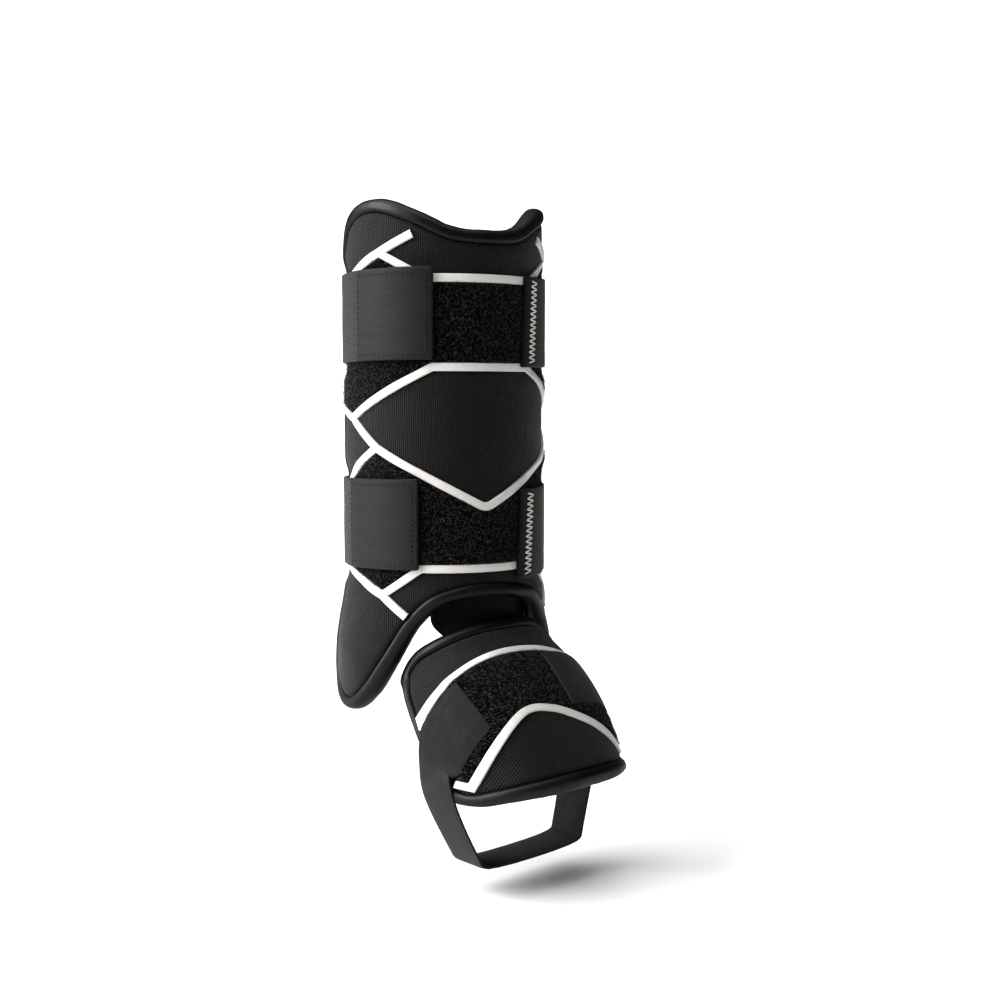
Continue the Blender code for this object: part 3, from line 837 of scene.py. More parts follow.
class Material:
    """Builds one material on its Principled shader."""

    def __init__(self, name: str) -> None:
        """Starts the material.

        Args:
            name: The material's name.
        """
        self.made = bpy.data.materials.new(name)
        self.made.use_nodes = True
        self.tree = self.made.node_tree
        self.shader = self.tree.nodes["Principled BSDF"]

    def node(self, kind: str, settings: dict, values: dict, output: object = 0) -> Value:
        """Adds any node.

        Args:
            kind: The node's type.
            settings: Its own settings, which are set first.
            values: Its inputs by name or place.
            output: The name or place of the output that is wanted.

        Returns:
            That output.
        """
        node = self.tree.nodes.new(kind)
        for key, value in settings.items():
            setattr(node, key, value)
        for key, value in values.items():
            feed(self.tree, node.inputs[key], value)
        return Value(self.tree, node.outputs[output])

    def pattern(self) -> tuple[Value, Value]:
        """The flat pattern's place, to the side and up, in metres.

        Returns:
            The place across and the place up.
        """
        place = self.node("ShaderNodeUVMap", {"uv_map": PATTERN_MAP}, {})
        return (
            self.node("ShaderNodeSeparateXYZ", {}, {0: place}, "X"),
            self.node("ShaderNodeSeparateXYZ", {}, {0: place}, "Y"),
        )

    def at(self, across: Number, up: Number) -> Value:
        """A vector from two numbers."""
        return self.node("ShaderNodeCombineXYZ", {}, {0: across, 1: up})

    def space(self) -> Value:
        """The place in space, in metres."""
        return self.node("ShaderNodeTexCoord", {}, {}, "Object")

    def cloudy(self, place: Value, scale: float, detail: float = 2.0, roughness: float = 0.5) -> Value:
        """Soft random variation.

        Args:
            place: The place that it depends on.
            scale: Bumps per unit of the place.
            detail: How many finer layers it has.
            roughness: How strong those are.

        Returns:
            A number from 0 to 1.
        """
        values = {"Vector": place, "Scale": scale, "Detail": detail, "Roughness": roughness}
        return self.node("ShaderNodeTexNoise", {}, values, 0)

    def between(self, value: Value, low: float, high: float, first: float = 0.0, last: float = 1.0) -> Value:
        """Maps a range on another, with soft ends.

        Args:
            value: The number.
            low: Where the range starts.
            high: Where it ends.
            first: The result at its start.
            last: The result at its end.

        Returns:
            The result.
        """
        settings = {"interpolation_type": "SMOOTHSTEP"}
        values = {"Value": value, "From Min": low, "From Max": high, "To Min": first, "To Max": last}
        return self.node("ShaderNodeMapRange", settings, values, 0)

    def mixed(self, share: Number, first: object, second: object) -> Value:
        """Mixes two colours.

        Args:
            share: The share of the second.
            first: A colour.
            second: A colour.

        Returns:
            The mixed colour.
        """
        colours = [(*each, 1.0) if isinstance(each, tuple) else each for each in (first, second)]
        settings = {"data_type": "RGBA"}
        return self.node("ShaderNodeMix", settings, {0: share, 6: colours[0], 7: colours[1]}, 2)

    def finished(
        self,
        colour: object,
        roughness: Number,
        height: Optional[Value] = None,
        depth: float = 0.0003,
        strength: float = 1.0,
        sheen: float = 0.0,
        specular: float = 0.5,
    ) -> bpy.types.Material:
        """Sets the shader.

        Args:
            colour: The base colour, as a Value.
            roughness: The roughness.
            height: The height of the surface's relief, from 0 to 1.
            depth: The relief's depth.
            strength: The relief's strength.
            sheen: How much soft sheen the fibres have.
            specular: How strongly the surface mirrors.

        Returns:
            The material.
        """
        feed(self.tree, self.shader.inputs["Base Color"], colour)
        feed(self.tree, self.shader.inputs["Roughness"], roughness)
        self.shader.inputs["Sheen Weight"].default_value = sheen
        self.shader.inputs["Sheen Roughness"].default_value = 0.45
        self.shader.inputs["Specular IOR Level"].default_value = specular
        if height is not None:
            values = {"Strength": strength, "Distance": depth, "Height": height}
            feed(self.tree, self.shader.inputs["Normal"], self.node("ShaderNodeBump", {}, values, "Normal"))
        return self.made


# Finishes


@dataclass(frozen=True)
class EmbossedFabric:
    """Coated fabric with small slanted grains pressed into it, smoother toward the foot of the wings."""

    name: str
    dark: Colour = (0.0028, 0.0027, 0.0028)
    light: Colour = (0.0175, 0.0166, 0.0162)
    pitch: Flat = (0.0015, 0.0027)
    slant: float = 62.0
    fade: Flat = (-0.114, -0.090)
    least: float = 0.12

    def make(self) -> bpy.types.Material:
        """Builds the material.

        Returns:
            The material.
        """
        cloth = Material(self.name)
        across, up = cloth.pattern()
        angle = math.radians(self.slant)
        along = across * math.cos(angle) + up * math.sin(angle)
        beside = up * math.cos(angle) - across * math.sin(angle)
        drift = cloth.cloudy(cloth.at(across, up), 130.0, 2.0) * 1.6
        rows = (beside * (math.tau / self.pitch[0]) + drift).sine()
        grains = (along * (math.tau / self.pitch[1]) + drift).sine()
        relief = cloth.between(rows * grains, -0.55, 0.75)
        fade = cloth.between(up, self.fade[0], self.fade[1], self.least, 1.0)
        fine = cloth.cloudy(cloth.at(across, up), 2600.0, 2.0)
        worn = cloth.between(cloth.cloudy(cloth.space(), 28.0, 4.0, 0.6), 0.45, 0.75)
        height = relief * fade + fine * 0.35
        share = (relief * fade * 0.55 + fine * 0.30 + worn * 0.25).at_most(1.0)
        colour = cloth.mixed(share, self.dark, self.light)
        roughness = 0.64 - relief * 0.14 + fine * 0.10 - worn * 0.05
        return cloth.finished(colour, roughness, height, depth=0.00042, sheen=0.16, specular=0.20)


@dataclass(frozen=True)
class LoopPile:
    """Fuzzy loop fabric, black with pale fibres that catch the light."""

    name: str
    dark: Colour = (0.0022, 0.0022, 0.0023)
    fibre: Colour = (0.12, 0.117, 0.115)

    def make(self) -> bpy.types.Material:
        """Builds the material.

        Returns:
            The material.
        """
        cloth = Material(self.name)
        across, up = cloth.pattern()
        place = cloth.at(across, up)
        tufts = cloth.cloudy(place, 620.0, 3.0, 0.65)
        strands = cloth.cloudy(cloth.at(across * 1.0, up * 2.4), 1500.0, 3.0, 0.7)
        patches = cloth.between(cloth.cloudy(place, 120.0, 2.0), 0.35, 0.7, 0.35, 1.0)
        specks = cloth.between(strands, 0.52, 0.72) * cloth.between(tufts, 0.40, 0.62) * patches
        colour = cloth.mixed(specks, self.dark, self.fibre)
        height = tufts * 0.7 + strands * 0.5
        return cloth.finished(colour, 0.96 - specks * 0.1, height, depth=0.0012, sheen=0.06, specular=0.06)


@dataclass(frozen=True)
class TrimFilm:
    """Flat pale film with a satin face and slightly dirty patches."""

    name: str
    clean: Colour = (0.57, 0.555, 0.54)
    dirty: Colour = (0.40, 0.38, 0.355)

    def make(self) -> bpy.types.Material:
        """Builds the material.

        Returns:
            The material.
        """
        film = Material(self.name)
        across, up = film.pattern()
        place = film.at(across, up)
        grain = film.cloudy(place, 2400.0, 2.0)
        marks = film.between(film.cloudy(place, 210.0, 4.0, 0.7), 0.58, 0.80)
        colour = film.mixed(marks * 0.55, self.clean, self.dirty)
        roughness = 0.42 + grain * 0.10 + marks * 0.12
        return film.finished(colour, roughness, grain, depth=0.00008, strength=0.6, specular=0.4)


@dataclass(frozen=True)
class RolledBinding:
    """Smooth satin imitation leather, stretched round the pad's edge."""

    name: str
    dark: Colour = (0.0026, 0.0026, 0.0028)
    light: Colour = (0.0085, 0.0085, 0.0090)

    def make(self) -> bpy.types.Material:
        """Builds the material.

        Returns:
            The material.
        """
        skin = Material(self.name)
        place = skin.space()
        grain = skin.cloudy(place, 1900.0, 3.0)
        dull = skin.between(skin.cloudy(place, 45.0, 3.0), 0.35, 0.70)
        rubbed = skin.between(skin.cloudy(place, 160.0, 4.0, 0.7), 0.56, 0.78)
        colour = skin.mixed(dull * 0.6 + rubbed * 0.4, self.dark, self.light)
        roughness = 0.40 + dull * 0.14 + grain * 0.06
        return skin.finished(colour, roughness, grain, depth=0.00010, strength=0.5, specular=0.36)


@dataclass(frozen=True)
class KnitLining:
    """Fine knitted lining with small open cells."""

    name: str
    dark: Colour = (0.0028, 0.0028, 0.0030)
    light: Colour = (0.015, 0.0148, 0.015)
    pitch: float = 0.0016

    def make(self) -> bpy.types.Material:
        """Builds the material.

        Returns:
            The material.
        """
        cloth = Material(self.name)
        across, up = cloth.pattern()
        turn = math.tau / self.pitch
        columns = (across * turn).sine()
        rows = (up * turn + columns * 0.9).sine()
        cells = columns * rows * 0.5 + 0.5
        fuzz = cloth.cloudy(cloth.at(across, up), 2200.0, 3.0)
        colour = cloth.mixed(cells * 0.6 + fuzz * 0.4, self.dark, self.light)
        roughness = 0.86 - cells * 0.08
        height = cells + fuzz * 0.5
        return cloth.finished(colour, roughness, height, 0.00022, strength=0.8, sheen=0.15, specular=0.25)


@dataclass(frozen=True)
class RibbedElastic:
    """Woven elastic whose ribs run along the strap, flatter and darker on the tab and at the sewn end."""

    name: str
    tab_starts: float
    doubled_ends: float
    dark: Colour = (0.0050, 0.0048, 0.0048)
    light: Colour = (0.046, 0.0435, 0.044)
    flat_light: Colour = (0.0105, 0.0105, 0.0108)
    rib: float = 0.00108
    edge: float = 0.0016

    def make(self) -> bpy.types.Material:
        """Builds the material.

        Returns:
            The material.
        """
        cloth = Material(self.name)
        across, up = cloth.pattern()
        uneven = cloth.cloudy(cloth.at(across * 0.12, up), 420.0, 2.0)
        ribs = (up * (math.tau / self.rib) + uneven * 1.2).sine() * 0.5 + 0.5
        weft = (across * (math.tau / (self.rib * 0.66))).sine() * 0.5 + 0.5
        yarn = cloth.cloudy(cloth.at(across * 0.45, up), 2600.0, 2.0, 0.65)
        tab = cloth.between(across, self.tab_starts - 0.0005, self.tab_starts + 0.0005)
        sewn = cloth.between(across, self.doubled_ends + 0.0005, self.doubled_ends - 0.0005)
        flat = tab.at_least(sewn)
        edge = cloth.between(up.size(), SHIN.strap_width / 2.0 - self.edge, SHIN.strap_width / 2.0)
        lines = cloth.between(ribs, 0.70, 0.98) * cloth.between(uneven, 0.35, 0.65, 0.35, 1.0)
        woven = ribs * (0.55 + weft * 0.45)
        free = cloth.mixed((woven * 0.75 + yarn * 0.40 - 0.12).at_most(1.0), self.dark, self.light)
        plain = cloth.mixed(lines * 0.65 + yarn * 0.25 + edge * 0.25, self.dark, self.flat_light)
        height = woven * (1.0 - flat) + (lines * 0.45 + edge * 0.3) * flat + yarn * 0.25
        roughness = 0.58 - woven * 0.08 + yarn * 0.10
        colour = cloth.mixed(flat, free, plain)
        return cloth.finished(colour, roughness, height, depth=0.00034, sheen=0.10, specular=0.34)


@dataclass(frozen=True)
class BrushedWebbing:
    """Plain strap fabric with a short brushed nap, and a highlight painted as a lighter line along the end of
    the right tab.
    """

    name: str
    dark: Colour = (0.0070, 0.0066, 0.0063)
    light: Colour = (0.052, 0.049, 0.047)

    def make(self) -> bpy.types.Material:
        """Builds the material.

        Returns:
            The material.
        """
        cloth = Material(self.name)
        across, up = cloth.pattern()
        nap = cloth.cloudy(cloth.at(across * 0.5, up), 2300.0, 3.0, 0.7)
        streaks = cloth.cloudy(cloth.at(across * 0.08, up), 420.0, 2.0)
        worn = cloth.between(cloth.cloudy(cloth.space(), 60.0, 4.0, 0.6), 0.48, 0.75)
        # A lighter line painted along the end edge of the right tab stands in for the highlight on that edge.
        painted_edge_highlight = cloth.between(across, 0.0014, 0.0006)
        share = (nap * 0.45 + streaks * 0.25 + worn * 0.25 + painted_edge_highlight * 0.7).at_most(1.0)
        colour = cloth.mixed(share, self.dark, self.light)
        roughness = 0.90 - nap * 0.10
        height = nap + streaks * 0.4
        return cloth.finished(colour, roughness, height, 0.00025, strength=0.9, sheen=0.12, specular=0.20)


@dataclass(frozen=True)
class SewingThread:
    """Twisted sewing thread of one colour."""

    name: str
    colour: Colour

    def make(self) -> bpy.types.Material:
        """Builds the material.

        Returns:
            The material.
        """
        thread = Material(self.name)
        twist = thread.cloudy(thread.space(), 3000.0, 2.0)
        darker = tuple(channel * 0.6 for channel in self.colour)
        colour = thread.mixed(twist, darker, self.colour)
        roughness = 0.55 + twist * 0.15
        return thread.finished(colour, roughness, twist, 0.00010, strength=0.8, sheen=0.1, specular=0.4)


class Finishes:
    """All the finishes of the guard, each made once."""

    def __init__(self) -> None:
        """Makes the materials."""
        self.shell = EmbossedFabric("embossed_fabric").make()
        self.foot_shell = EmbossedFabric("embossed_foot_fabric", slant=70.0, fade=(-1.0, -0.9)).make()
        self.loop = LoopPile("loop_pile").make()
        self.trim = TrimFilm("trim_film").make()
        self.binding = RolledBinding("rolled_binding").make()
        self.lining = KnitLining("knit_lining").make()
        self.stretch = KnitLining("stretch_knit", pitch=0.0021).make()
        self.webbing = BrushedWebbing("brushed_webbing").make()
        self.hook = KnitLining("hook_tape", pitch=0.0012).make()
        self.black_thread = SewingThread("black_thread", (0.0035, 0.0035, 0.0036)).make()
        self.grey_thread = SewingThread("grey_thread", (0.10, 0.097, 0.096)).make()
        self.fibre = SewingThread("pile_fibre", (0.105, 0.102, 0.100)).make()
        self.pale_thread = SewingThread("pale_thread", (0.78, 0.75, 0.70)).make()


# Loop bands


def inside(outline: Sequence[Flat], across: float, up: float) -> bool:
    """Whether a flat point lies inside an outline.

    Args:
        outline: The outline's flat points.
        across: The point's place across.
        up: The point's place up.

    Returns:
        True where it lies inside.
    """
    within = False
    for (x, y), (next_x, next_y) in zip(outline, list(outline[1:]) + [outline[0]]):
        if (y > up) != (next_y > up) and across < x + (next_x - x) * (up - y) / (next_y - y):
            within = not within
    return within


@dataclass(frozen=True)
class LoopBand:
    """A band of loop fabric and the small loops of fibre that stand on it."""

    name: str
    count: int
    seed: int
    rounding: float = 0.0014
    grid: float = 0.0016
    fibre: float = 0.00007
    fibre_sides: int = 3
    span: Flat = (0.0004, 0.0010)
    rise: Flat = (0.0003, 0.0009)
    curl: float = 0.6
    rooted: float = 0.0001
    overhang: float = 0.0005
    steps: int = 4

    @staticmethod
    def fuzz(across: float, up: float) -> float:
        """The uneven height of the pile at a flat point."""
        here = Vector((across, up, 0.3))
        return 0.00022 * unevenness(here, 0.0021) + 0.00016 * unevenness(here, 0.0065)

    def build(
        self,
        outline: Sequence[Flat],
        place: Place,
        covered: Callable[[float, float], bool],
        finishes: Finishes,
    ) -> list[bpy.types.Object]:
        """Builds the band and its loops.

        Args:
            outline: The band's flat outline, anticlockwise.
            place: The form that the band is wrapped on.
            covered: Whether a flat point lies under a strap, where no loop stands.
            finishes: The materials.

        Returns:
            Their pieces.
        """
        low = LAYERS.clearance - LAYERS.sunk
        profile = Profile(low, LAYERS.clearance + LAYERS.loop_pile, rim_share=0.5, rounding=self.rounding)
        body = wrapped_sheet(outline, profile, self.grid, place, self.fuzz)
        band = shown(f"{self.name}_loop_band", body, finishes.loop, Slot.LOOP, [f"{self.name}_loop_panel"])
        body = self.loops(outline, place, covered)
        return [band, shown(f"{self.name}_pile_loops", body, finishes.fibre, Slot.LOOP)]

    def loops(
        self, outline: Sequence[Flat], place: Place, covered: Callable[[float, float], bool]
    ) -> bmesh.types.BMesh:
        """Sets the loops on a band.

        Args:
            outline: The band's flat outline, anticlockwise.
            place: The form that the band is wrapped on.
            covered: Whether a flat point lies under a strap, where no loop stands.

        Returns:
            The loops.
        """
        chance = random.Random(self.seed)
        edge = moved_in(outline, -self.overhang)
        low = [min(point[axis] for point in edge) for axis in (0, 1)]
        high = [max(point[axis] for point in edge) for axis in (0, 1)]
        base = LAYERS.clearance + LAYERS.loop_pile - self.rooted
        body = bmesh.new()
        for _ in range(self.count):
            across = chance.uniform(low[0], high[0])
            up = chance.uniform(low[1], high[1])
            heading = chance.uniform(0.0, math.tau)
            span = chance.uniform(*self.span)
            rise = chance.uniform(*self.rise)
            curl = chance.uniform(-self.curl, self.curl)
            if covered(across, up) or not inside(edge, across, up):
                continue
            line = []
            for step in range(self.steps + 1):
                share = 2.0 * step / self.steps - 1.0
                aside = curl * span * share * share
                x = across + span * share * math.cos(heading) - aside * math.sin(heading)
                y = up + span * share * math.sin(heading) + aside * math.cos(heading)
                line.append(place(x, y, base + rise * (1.0 - share * share)))
            thread_tube(body, line, self.fibre, self.fibre_sides)
        return body


# Pads


@dataclass(frozen=True)
class RolledEdge:
    """A soft rolled edge round a pad, tucked under the rim of the shell in a seam."""

    width: float
    narrow: float
    proud: float = 0.0011
    seam_depth: float = 0.0020
    seam_reach: float = 0.0004
    crown_reach: float = 0.0022
    crown_share: float = 0.4
    squareness: float = 0.66
    sag: float = 0.00025
    pattern_step: float = 0.0012
    spacing: float = 0.0022
    seam_turns: int = 5
    turns: int = 13

    def section(self, width: float, low: float) -> list[Flat]:
        """The roll's section: places out from the pad's edge and over the form.

        Args:
            width: How far the roll stands out from the pad's edge.
            low: The height of its inner face over the form.

        Returns:
            The points of the section.
        """
        crown = min(self.crown_reach, width * self.crown_share)
        points = []
        for turn in range(self.seam_turns):
            angle = math.radians(180.0 - 90.0 * turn / self.seam_turns)
            reach = crown + (crown + self.seam_reach) * math.cos(angle)
            points.append((reach, self.proud - (self.proud + self.seam_depth) * (1.0 - math.sin(angle))))
        for turn in range(self.turns + 1):
            angle = math.radians(90.0 - 180.0 * turn / self.turns)
            share = max(math.cos(angle), 0.0) ** self.squareness
            rise = (low + self.proud) / 2.0 + (self.proud - low) / 2.0 * math.sin(angle)
            points.append((crown + (width - crown) * share, rise))
        return points + [(-self.seam_reach, low)]

    def body(
        self, outline: Sequence[Vector], place: Place, low: float, narrowing: Callable[[Vector], float]
    ) -> bmesh.types.BMesh:
        """Rolls the edge round an outline.

        Args:
            outline: The pad's flat outline, anticlockwise.
            place: The form.
            low: The height of the roll's inner face over the form.
            narrowing: How narrow the roll is at a point of the outline, from 0 to 1.

        Returns:
            The closed roll.
        """
        ring = evenly(outline, self.spacing)
        count = len(ring)
        rings = []
        flats = []
        for index, point in enumerate(ring):
            along = (ring[(index + 1) % count] - ring[index - 1]).normalized()
            out = Vector((along.y, -along.x))
            here = place(point.x, point.y, 0.0)
            width = self.width + (self.narrow - self.width) * narrowing(point)
            width *= 1.0 + 0.05 * unevenness(here, 0.013) + 0.03 * unevenness(here, 0.005)
            sag = self.sag * unevenness(here, 0.009)
            section = self.section(width, low)
            rings.append(
                [place(point.x + out.x * at, point.y + out.y * at, rise + sag) for at, rise in section]
            )
            flats.append([(index * self.spacing, turn * self.pattern_step) for turn in range(len(section))])
        return lofted(rings, flats, closed=True)


@dataclass(frozen=True)
class MouldedPad:
    """What the two moulded pads share: a shell, a lining and a rolled edge round them."""

    part: str
    fill: float
    edge: RolledEdge
    grid: float = 0.0030

    def narrowing(self, point: Vector) -> float:
        """How narrow the rolled edge is at a point of the outline, from 0 to 1."""
        raise NotImplementedError

    def moulding(self, across: float, up: float) -> float:
        """The shell's slight unevenness at a flat point."""
        raise NotImplementedError

    def layers(
        self, outline: Sequence[Vector], place: Place, shell: bpy.types.Material, finishes: Finishes
    ) -> list[bpy.types.Object]:
        """Builds the three layers.

        Args:
            outline: The shell's flat outline, anticlockwise.
            place: The form.
            shell: The shell's material.
            finishes: The other materials.

        Returns:
            Their pieces.
        """
        flat = [tuple(point) for point in outline]
        low, high = LAYERS.liner()
        body = wrapped_sheet(flat, PAD_PROFILE, self.grid, place, self.moulding)
        pieces = [shown(f"{self.part}_pad_shell", body, shell, Slot.SHELL, [f"{self.part}_shell"])]
        body = wrapped_sheet(flat, Profile(high, low), self.grid, place)
        name = f"{self.part}_pad_lining"
        pieces.append(shown(name, body, finishes.lining, Slot.LINER, [f"{self.part}_liner"]))
        body = self.edge.body(outline, place, low, self.narrowing)
        name = f"{self.part}_pad_rolled_edge"
        pieces.append(shown(name, body, finishes.binding, Slot.BINDING, [f"{self.part}_binding"]))
        return pieces


@dataclass(frozen=True)
class ShinPad(MouldedPad):
    """The moulded pad round the shin."""

    part: str = "shin"
    fill: float = 0.9
    edge: RolledEdge = field(default_factory=lambda: RolledEdge(0.0082, 0.0042))
    outline_rows: tuple[Flat, ...] = (
        (0.00, 0.934),
        (0.20, 0.941),
        (0.40, 0.976),
        (0.62, 1.000),
        (0.83, 0.980),
        (0.96, 0.913),
        (1.00, 0.816),
        (1.00, 0.490),
        (1.00, 0.150),
        (0.97, 0.062),
        (0.88, 0.010),
        (0.77, 0.000),
        (0.66, 0.030),
        (0.54, 0.100),
        (0.43, 0.170),
        (0.30, 0.220),
        (0.15, 0.242),
        (0.00, 0.248),
    )
    outline_steps: int = 6
    rear_reach: float = 0.0036
    narrow_from: float = 0.86
    narrow_blend: float = 0.13

    def narrowing(self, point: Vector) -> float:
        """How narrow the rolled edge is at a point of the outline: it is narrow at the rear."""
        rear = math.radians(SHIN.half_wrap) * SHIN.radius
        return smoothed((abs(point.x) / rear - self.narrow_from) / self.narrow_blend)

    def moulding(self, across: float, up: float) -> float:
        """The shell's slight unevenness at a flat point."""
        here = Vector((across, up, 0.0))
        return 0.00022 * unevenness(here, 0.022) + 0.00008 * unevenness(here, 0.007)

    def outline(self) -> list[Vector]:
        """The shell's flat outline as a smooth closed curve, anticlockwise.

        Returns:
            The curve's flat points.
        """
        right = [SHIN.point(wrap, height) for wrap, height in self.outline_rows]
        left = [SHIN.point(-wrap, height) for wrap, height in reversed(self.outline_rows[1:-1])]
        for point in right + left:
            point.x += math.copysign(self.rear_reach * self.narrowing(point), point.x)
        return curved(list(reversed(right + left)), self.outline_steps, closed=True)

    def arch_height(self, arc: float) -> float:
        """The height of the arch's edge at an arc from the middle.

        Args:
            arc: The arc, below 0 on the left.

        Returns:
            The height in the frame.
        """
        rows = self.outline_rows[-1:-7:-1]
        side = math.copysign(1.0, arc)
        edge = [SHIN.point(side * wrap, height) for wrap, height in rows]
        for start, end in zip(edge, edge[1:]):
            if abs(start.x) <= abs(arc) <= abs(end.x):
                return start.y + (end.y - start.y) * (arc - start.x) / (end.x - start.x)
        return edge[-1].y

    def build(self, finishes: Finishes) -> list[bpy.types.Object]:
        """Builds the pad.

        Args:
            finishes: The materials.

        Returns:
            Its pieces.
        """
        return self.layers(self.outline(), SHIN.place, finishes.shell, finishes)


@dataclass(frozen=True)
class ShinLines:
    """The pale trim lines on the shell and the loop bands between them."""

    points: dict = field(
        default_factory=lambda: {
            "top_middle": (0.000, 0.865),
            "top_turn": (0.325, 0.865),
            "top_branch": (0.570, 0.917),
            "top_seam": (0.380, 0.952),
            "top_rear": (0.965, 0.857),
            "shield_middle": (0.000, 0.688),
            "shield_turn": (0.282, 0.688),
            "shield_side": (0.791, 0.584),
            "shield_rear": (0.965, 0.607),
            "shield_branch": (0.591, 0.524),
            "branch_rear": (0.965, 0.431),
            "shield_point": (0.000, 0.402),
            "arch_middle": (0.000, 0.280),
            "arch_turn": (0.345, 0.280),
            "arch_branch": (0.558, 0.223),
            "arch_seam": (0.420, 0.181),
            "arch_side": (0.727, 0.248),
            "arch_rear": (0.965, 0.274),
        }
    )
    networks: dict = field(
        default_factory=lambda: {
            "upper": (
                ("top_middle", "top_turn"),
                ("top_turn", "top_branch"),
                ("top_branch", "top_seam"),
                ("top_branch", "top_rear"),
            ),
            "shield": (
                ("shield_middle", "shield_turn"),
                ("shield_turn", "shield_side"),
                ("shield_side", "shield_rear"),
                ("shield_side", "shield_branch"),
                ("shield_branch", "branch_rear"),
                ("shield_branch", "shield_point"),
            ),
            "lower": (
                ("arch_middle", "arch_turn"),
                ("arch_turn", "arch_branch"),
                ("arch_branch", "arch_seam"),
                ("arch_branch", "arch_side"),
                ("arch_side", "arch_rear"),
            ),
        }
    )
    bands: dict = field(
        default_factory=lambda: {
            "upper": (
                ("top_middle", "top_turn", "top_branch", "top_rear"),
                ("shield_middle", "shield_turn", "shield_side", "shield_rear"),
            ),
            "lower": (
                ("shield_point", "shield_branch", "branch_rear"),
                ("arch_middle", "arch_turn", "arch_branch", "arch_side", "arch_rear"),
            ),
        }
    )
    tip_radius: float = 0.0085
    tip_steps: int = 7
    grid: float = 0.0030
    loop_bands: tuple[LoopBand, ...] = (LoopBand("upper", 15000, 11), LoopBand("lower", 15000, 12))

    def tip(self) -> list[Vector]:
        """The rounded tip of the centre panel, from right to left.

        Returns:
            The tip's flat points.
        """
        corner = SHIN.point(*self.points["shield_point"])
        wrap, height = self.points["shield_branch"]
        return rounded_corner(
            SHIN.point(wrap, height), corner, SHIN.point(-wrap, height), self.tip_radius, self.tip_steps
        )

    def network(self, name: str) -> tuple[dict, list[tuple]]:
        """The points and lines of one network, on both halves.

        Args:
            name: The network's name.

        Returns:
            Flat points by key, and pairs of keys.
        """
        places: dict = {}
        joined: list[tuple] = []
        for side in Side:
            for line in self.networks[name]:
                ends = []
                for key_name in line:
                    wrap, height = self.points[key_name]
                    key = (key_name, side if wrap > 0.0 else None)
                    places[key] = SHIN.point(wrap * side.value, height)
                    ends.append(key)
                joined.append(tuple(ends))
        corner = ("shield_point", None)
        if corner in places:
            places.pop(corner)
            kept = [line for line in joined if corner not in line]
            tip = self.tip()
            keys = [("tip", index) for index in range(len(tip))]
            places.update(zip(keys, tip))
            kept += [(("shield_branch", Side.RIGHT), keys[0]), (keys[-1], ("shield_branch", Side.LEFT))]
            kept += list(zip(keys, keys[1:]))
            joined = kept
        return places, joined

    def band_outline(self, name: str) -> list[Flat]:
        """The outline of one loop band, inside the trim lines, anticlockwise.

        Args:
            name: The band's name.

        Returns:
            The outline's flat points.
        """
        upper, lower = self.bands[name]
        right = [SHIN.point(*self.points[key]) for key in upper]
        below = [SHIN.point(*self.points[key]) for key in reversed(lower)]
        left_below = [self.mirrored(key) for key in lower[1:]]
        left = [self.mirrored(key) for key in reversed(upper[1:])]
        outline = right + below + left_below + left
        if upper[0] == "shield_point":
            tip = self.tip()
            outline = list(reversed(tip[: self.tip_steps // 2 + 1])) + outline[1:]
            outline += list(reversed(tip[self.tip_steps // 2 + 1 :]))
        flat = [tuple(point) for point in reversed(outline)]
        return moved_in(flat, LAYERS.trim_width / 2.0 + LAYERS.clearance)

    def mirrored(self, key: str) -> Vector:
        """A named point on the left half."""
        wrap, height = self.points[key]
        return SHIN.point(-wrap, height)

    def build(self, straps: dict, finishes: Finishes) -> list[bpy.types.Object]:
        """Builds the lines and the bands.

        Args:
            straps: The strap that closes on each band, by the band's name.
            finishes: The materials.

        Returns:
            Their pieces.
        """
        pieces = []
        for name in self.networks:
            strips = PatternPiece.strips(*self.network(name), LAYERS.trim_width, LINE_PROFILE.rings())
            strips.divide(0, self.grid).divide(1, self.grid)
            body = strips.wrapped(SHIN.place, LINE_PROFILE)
            pieces.append(shown(f"{name}_lines", body, finishes.trim, Slot.TRIM, [f"{name}_trim"]))
        for band in self.loop_bands:
            outline = self.band_outline(band.name)
            pieces += band.build(outline, SHIN.place, straps[band.name].covers, finishes)
        return pieces


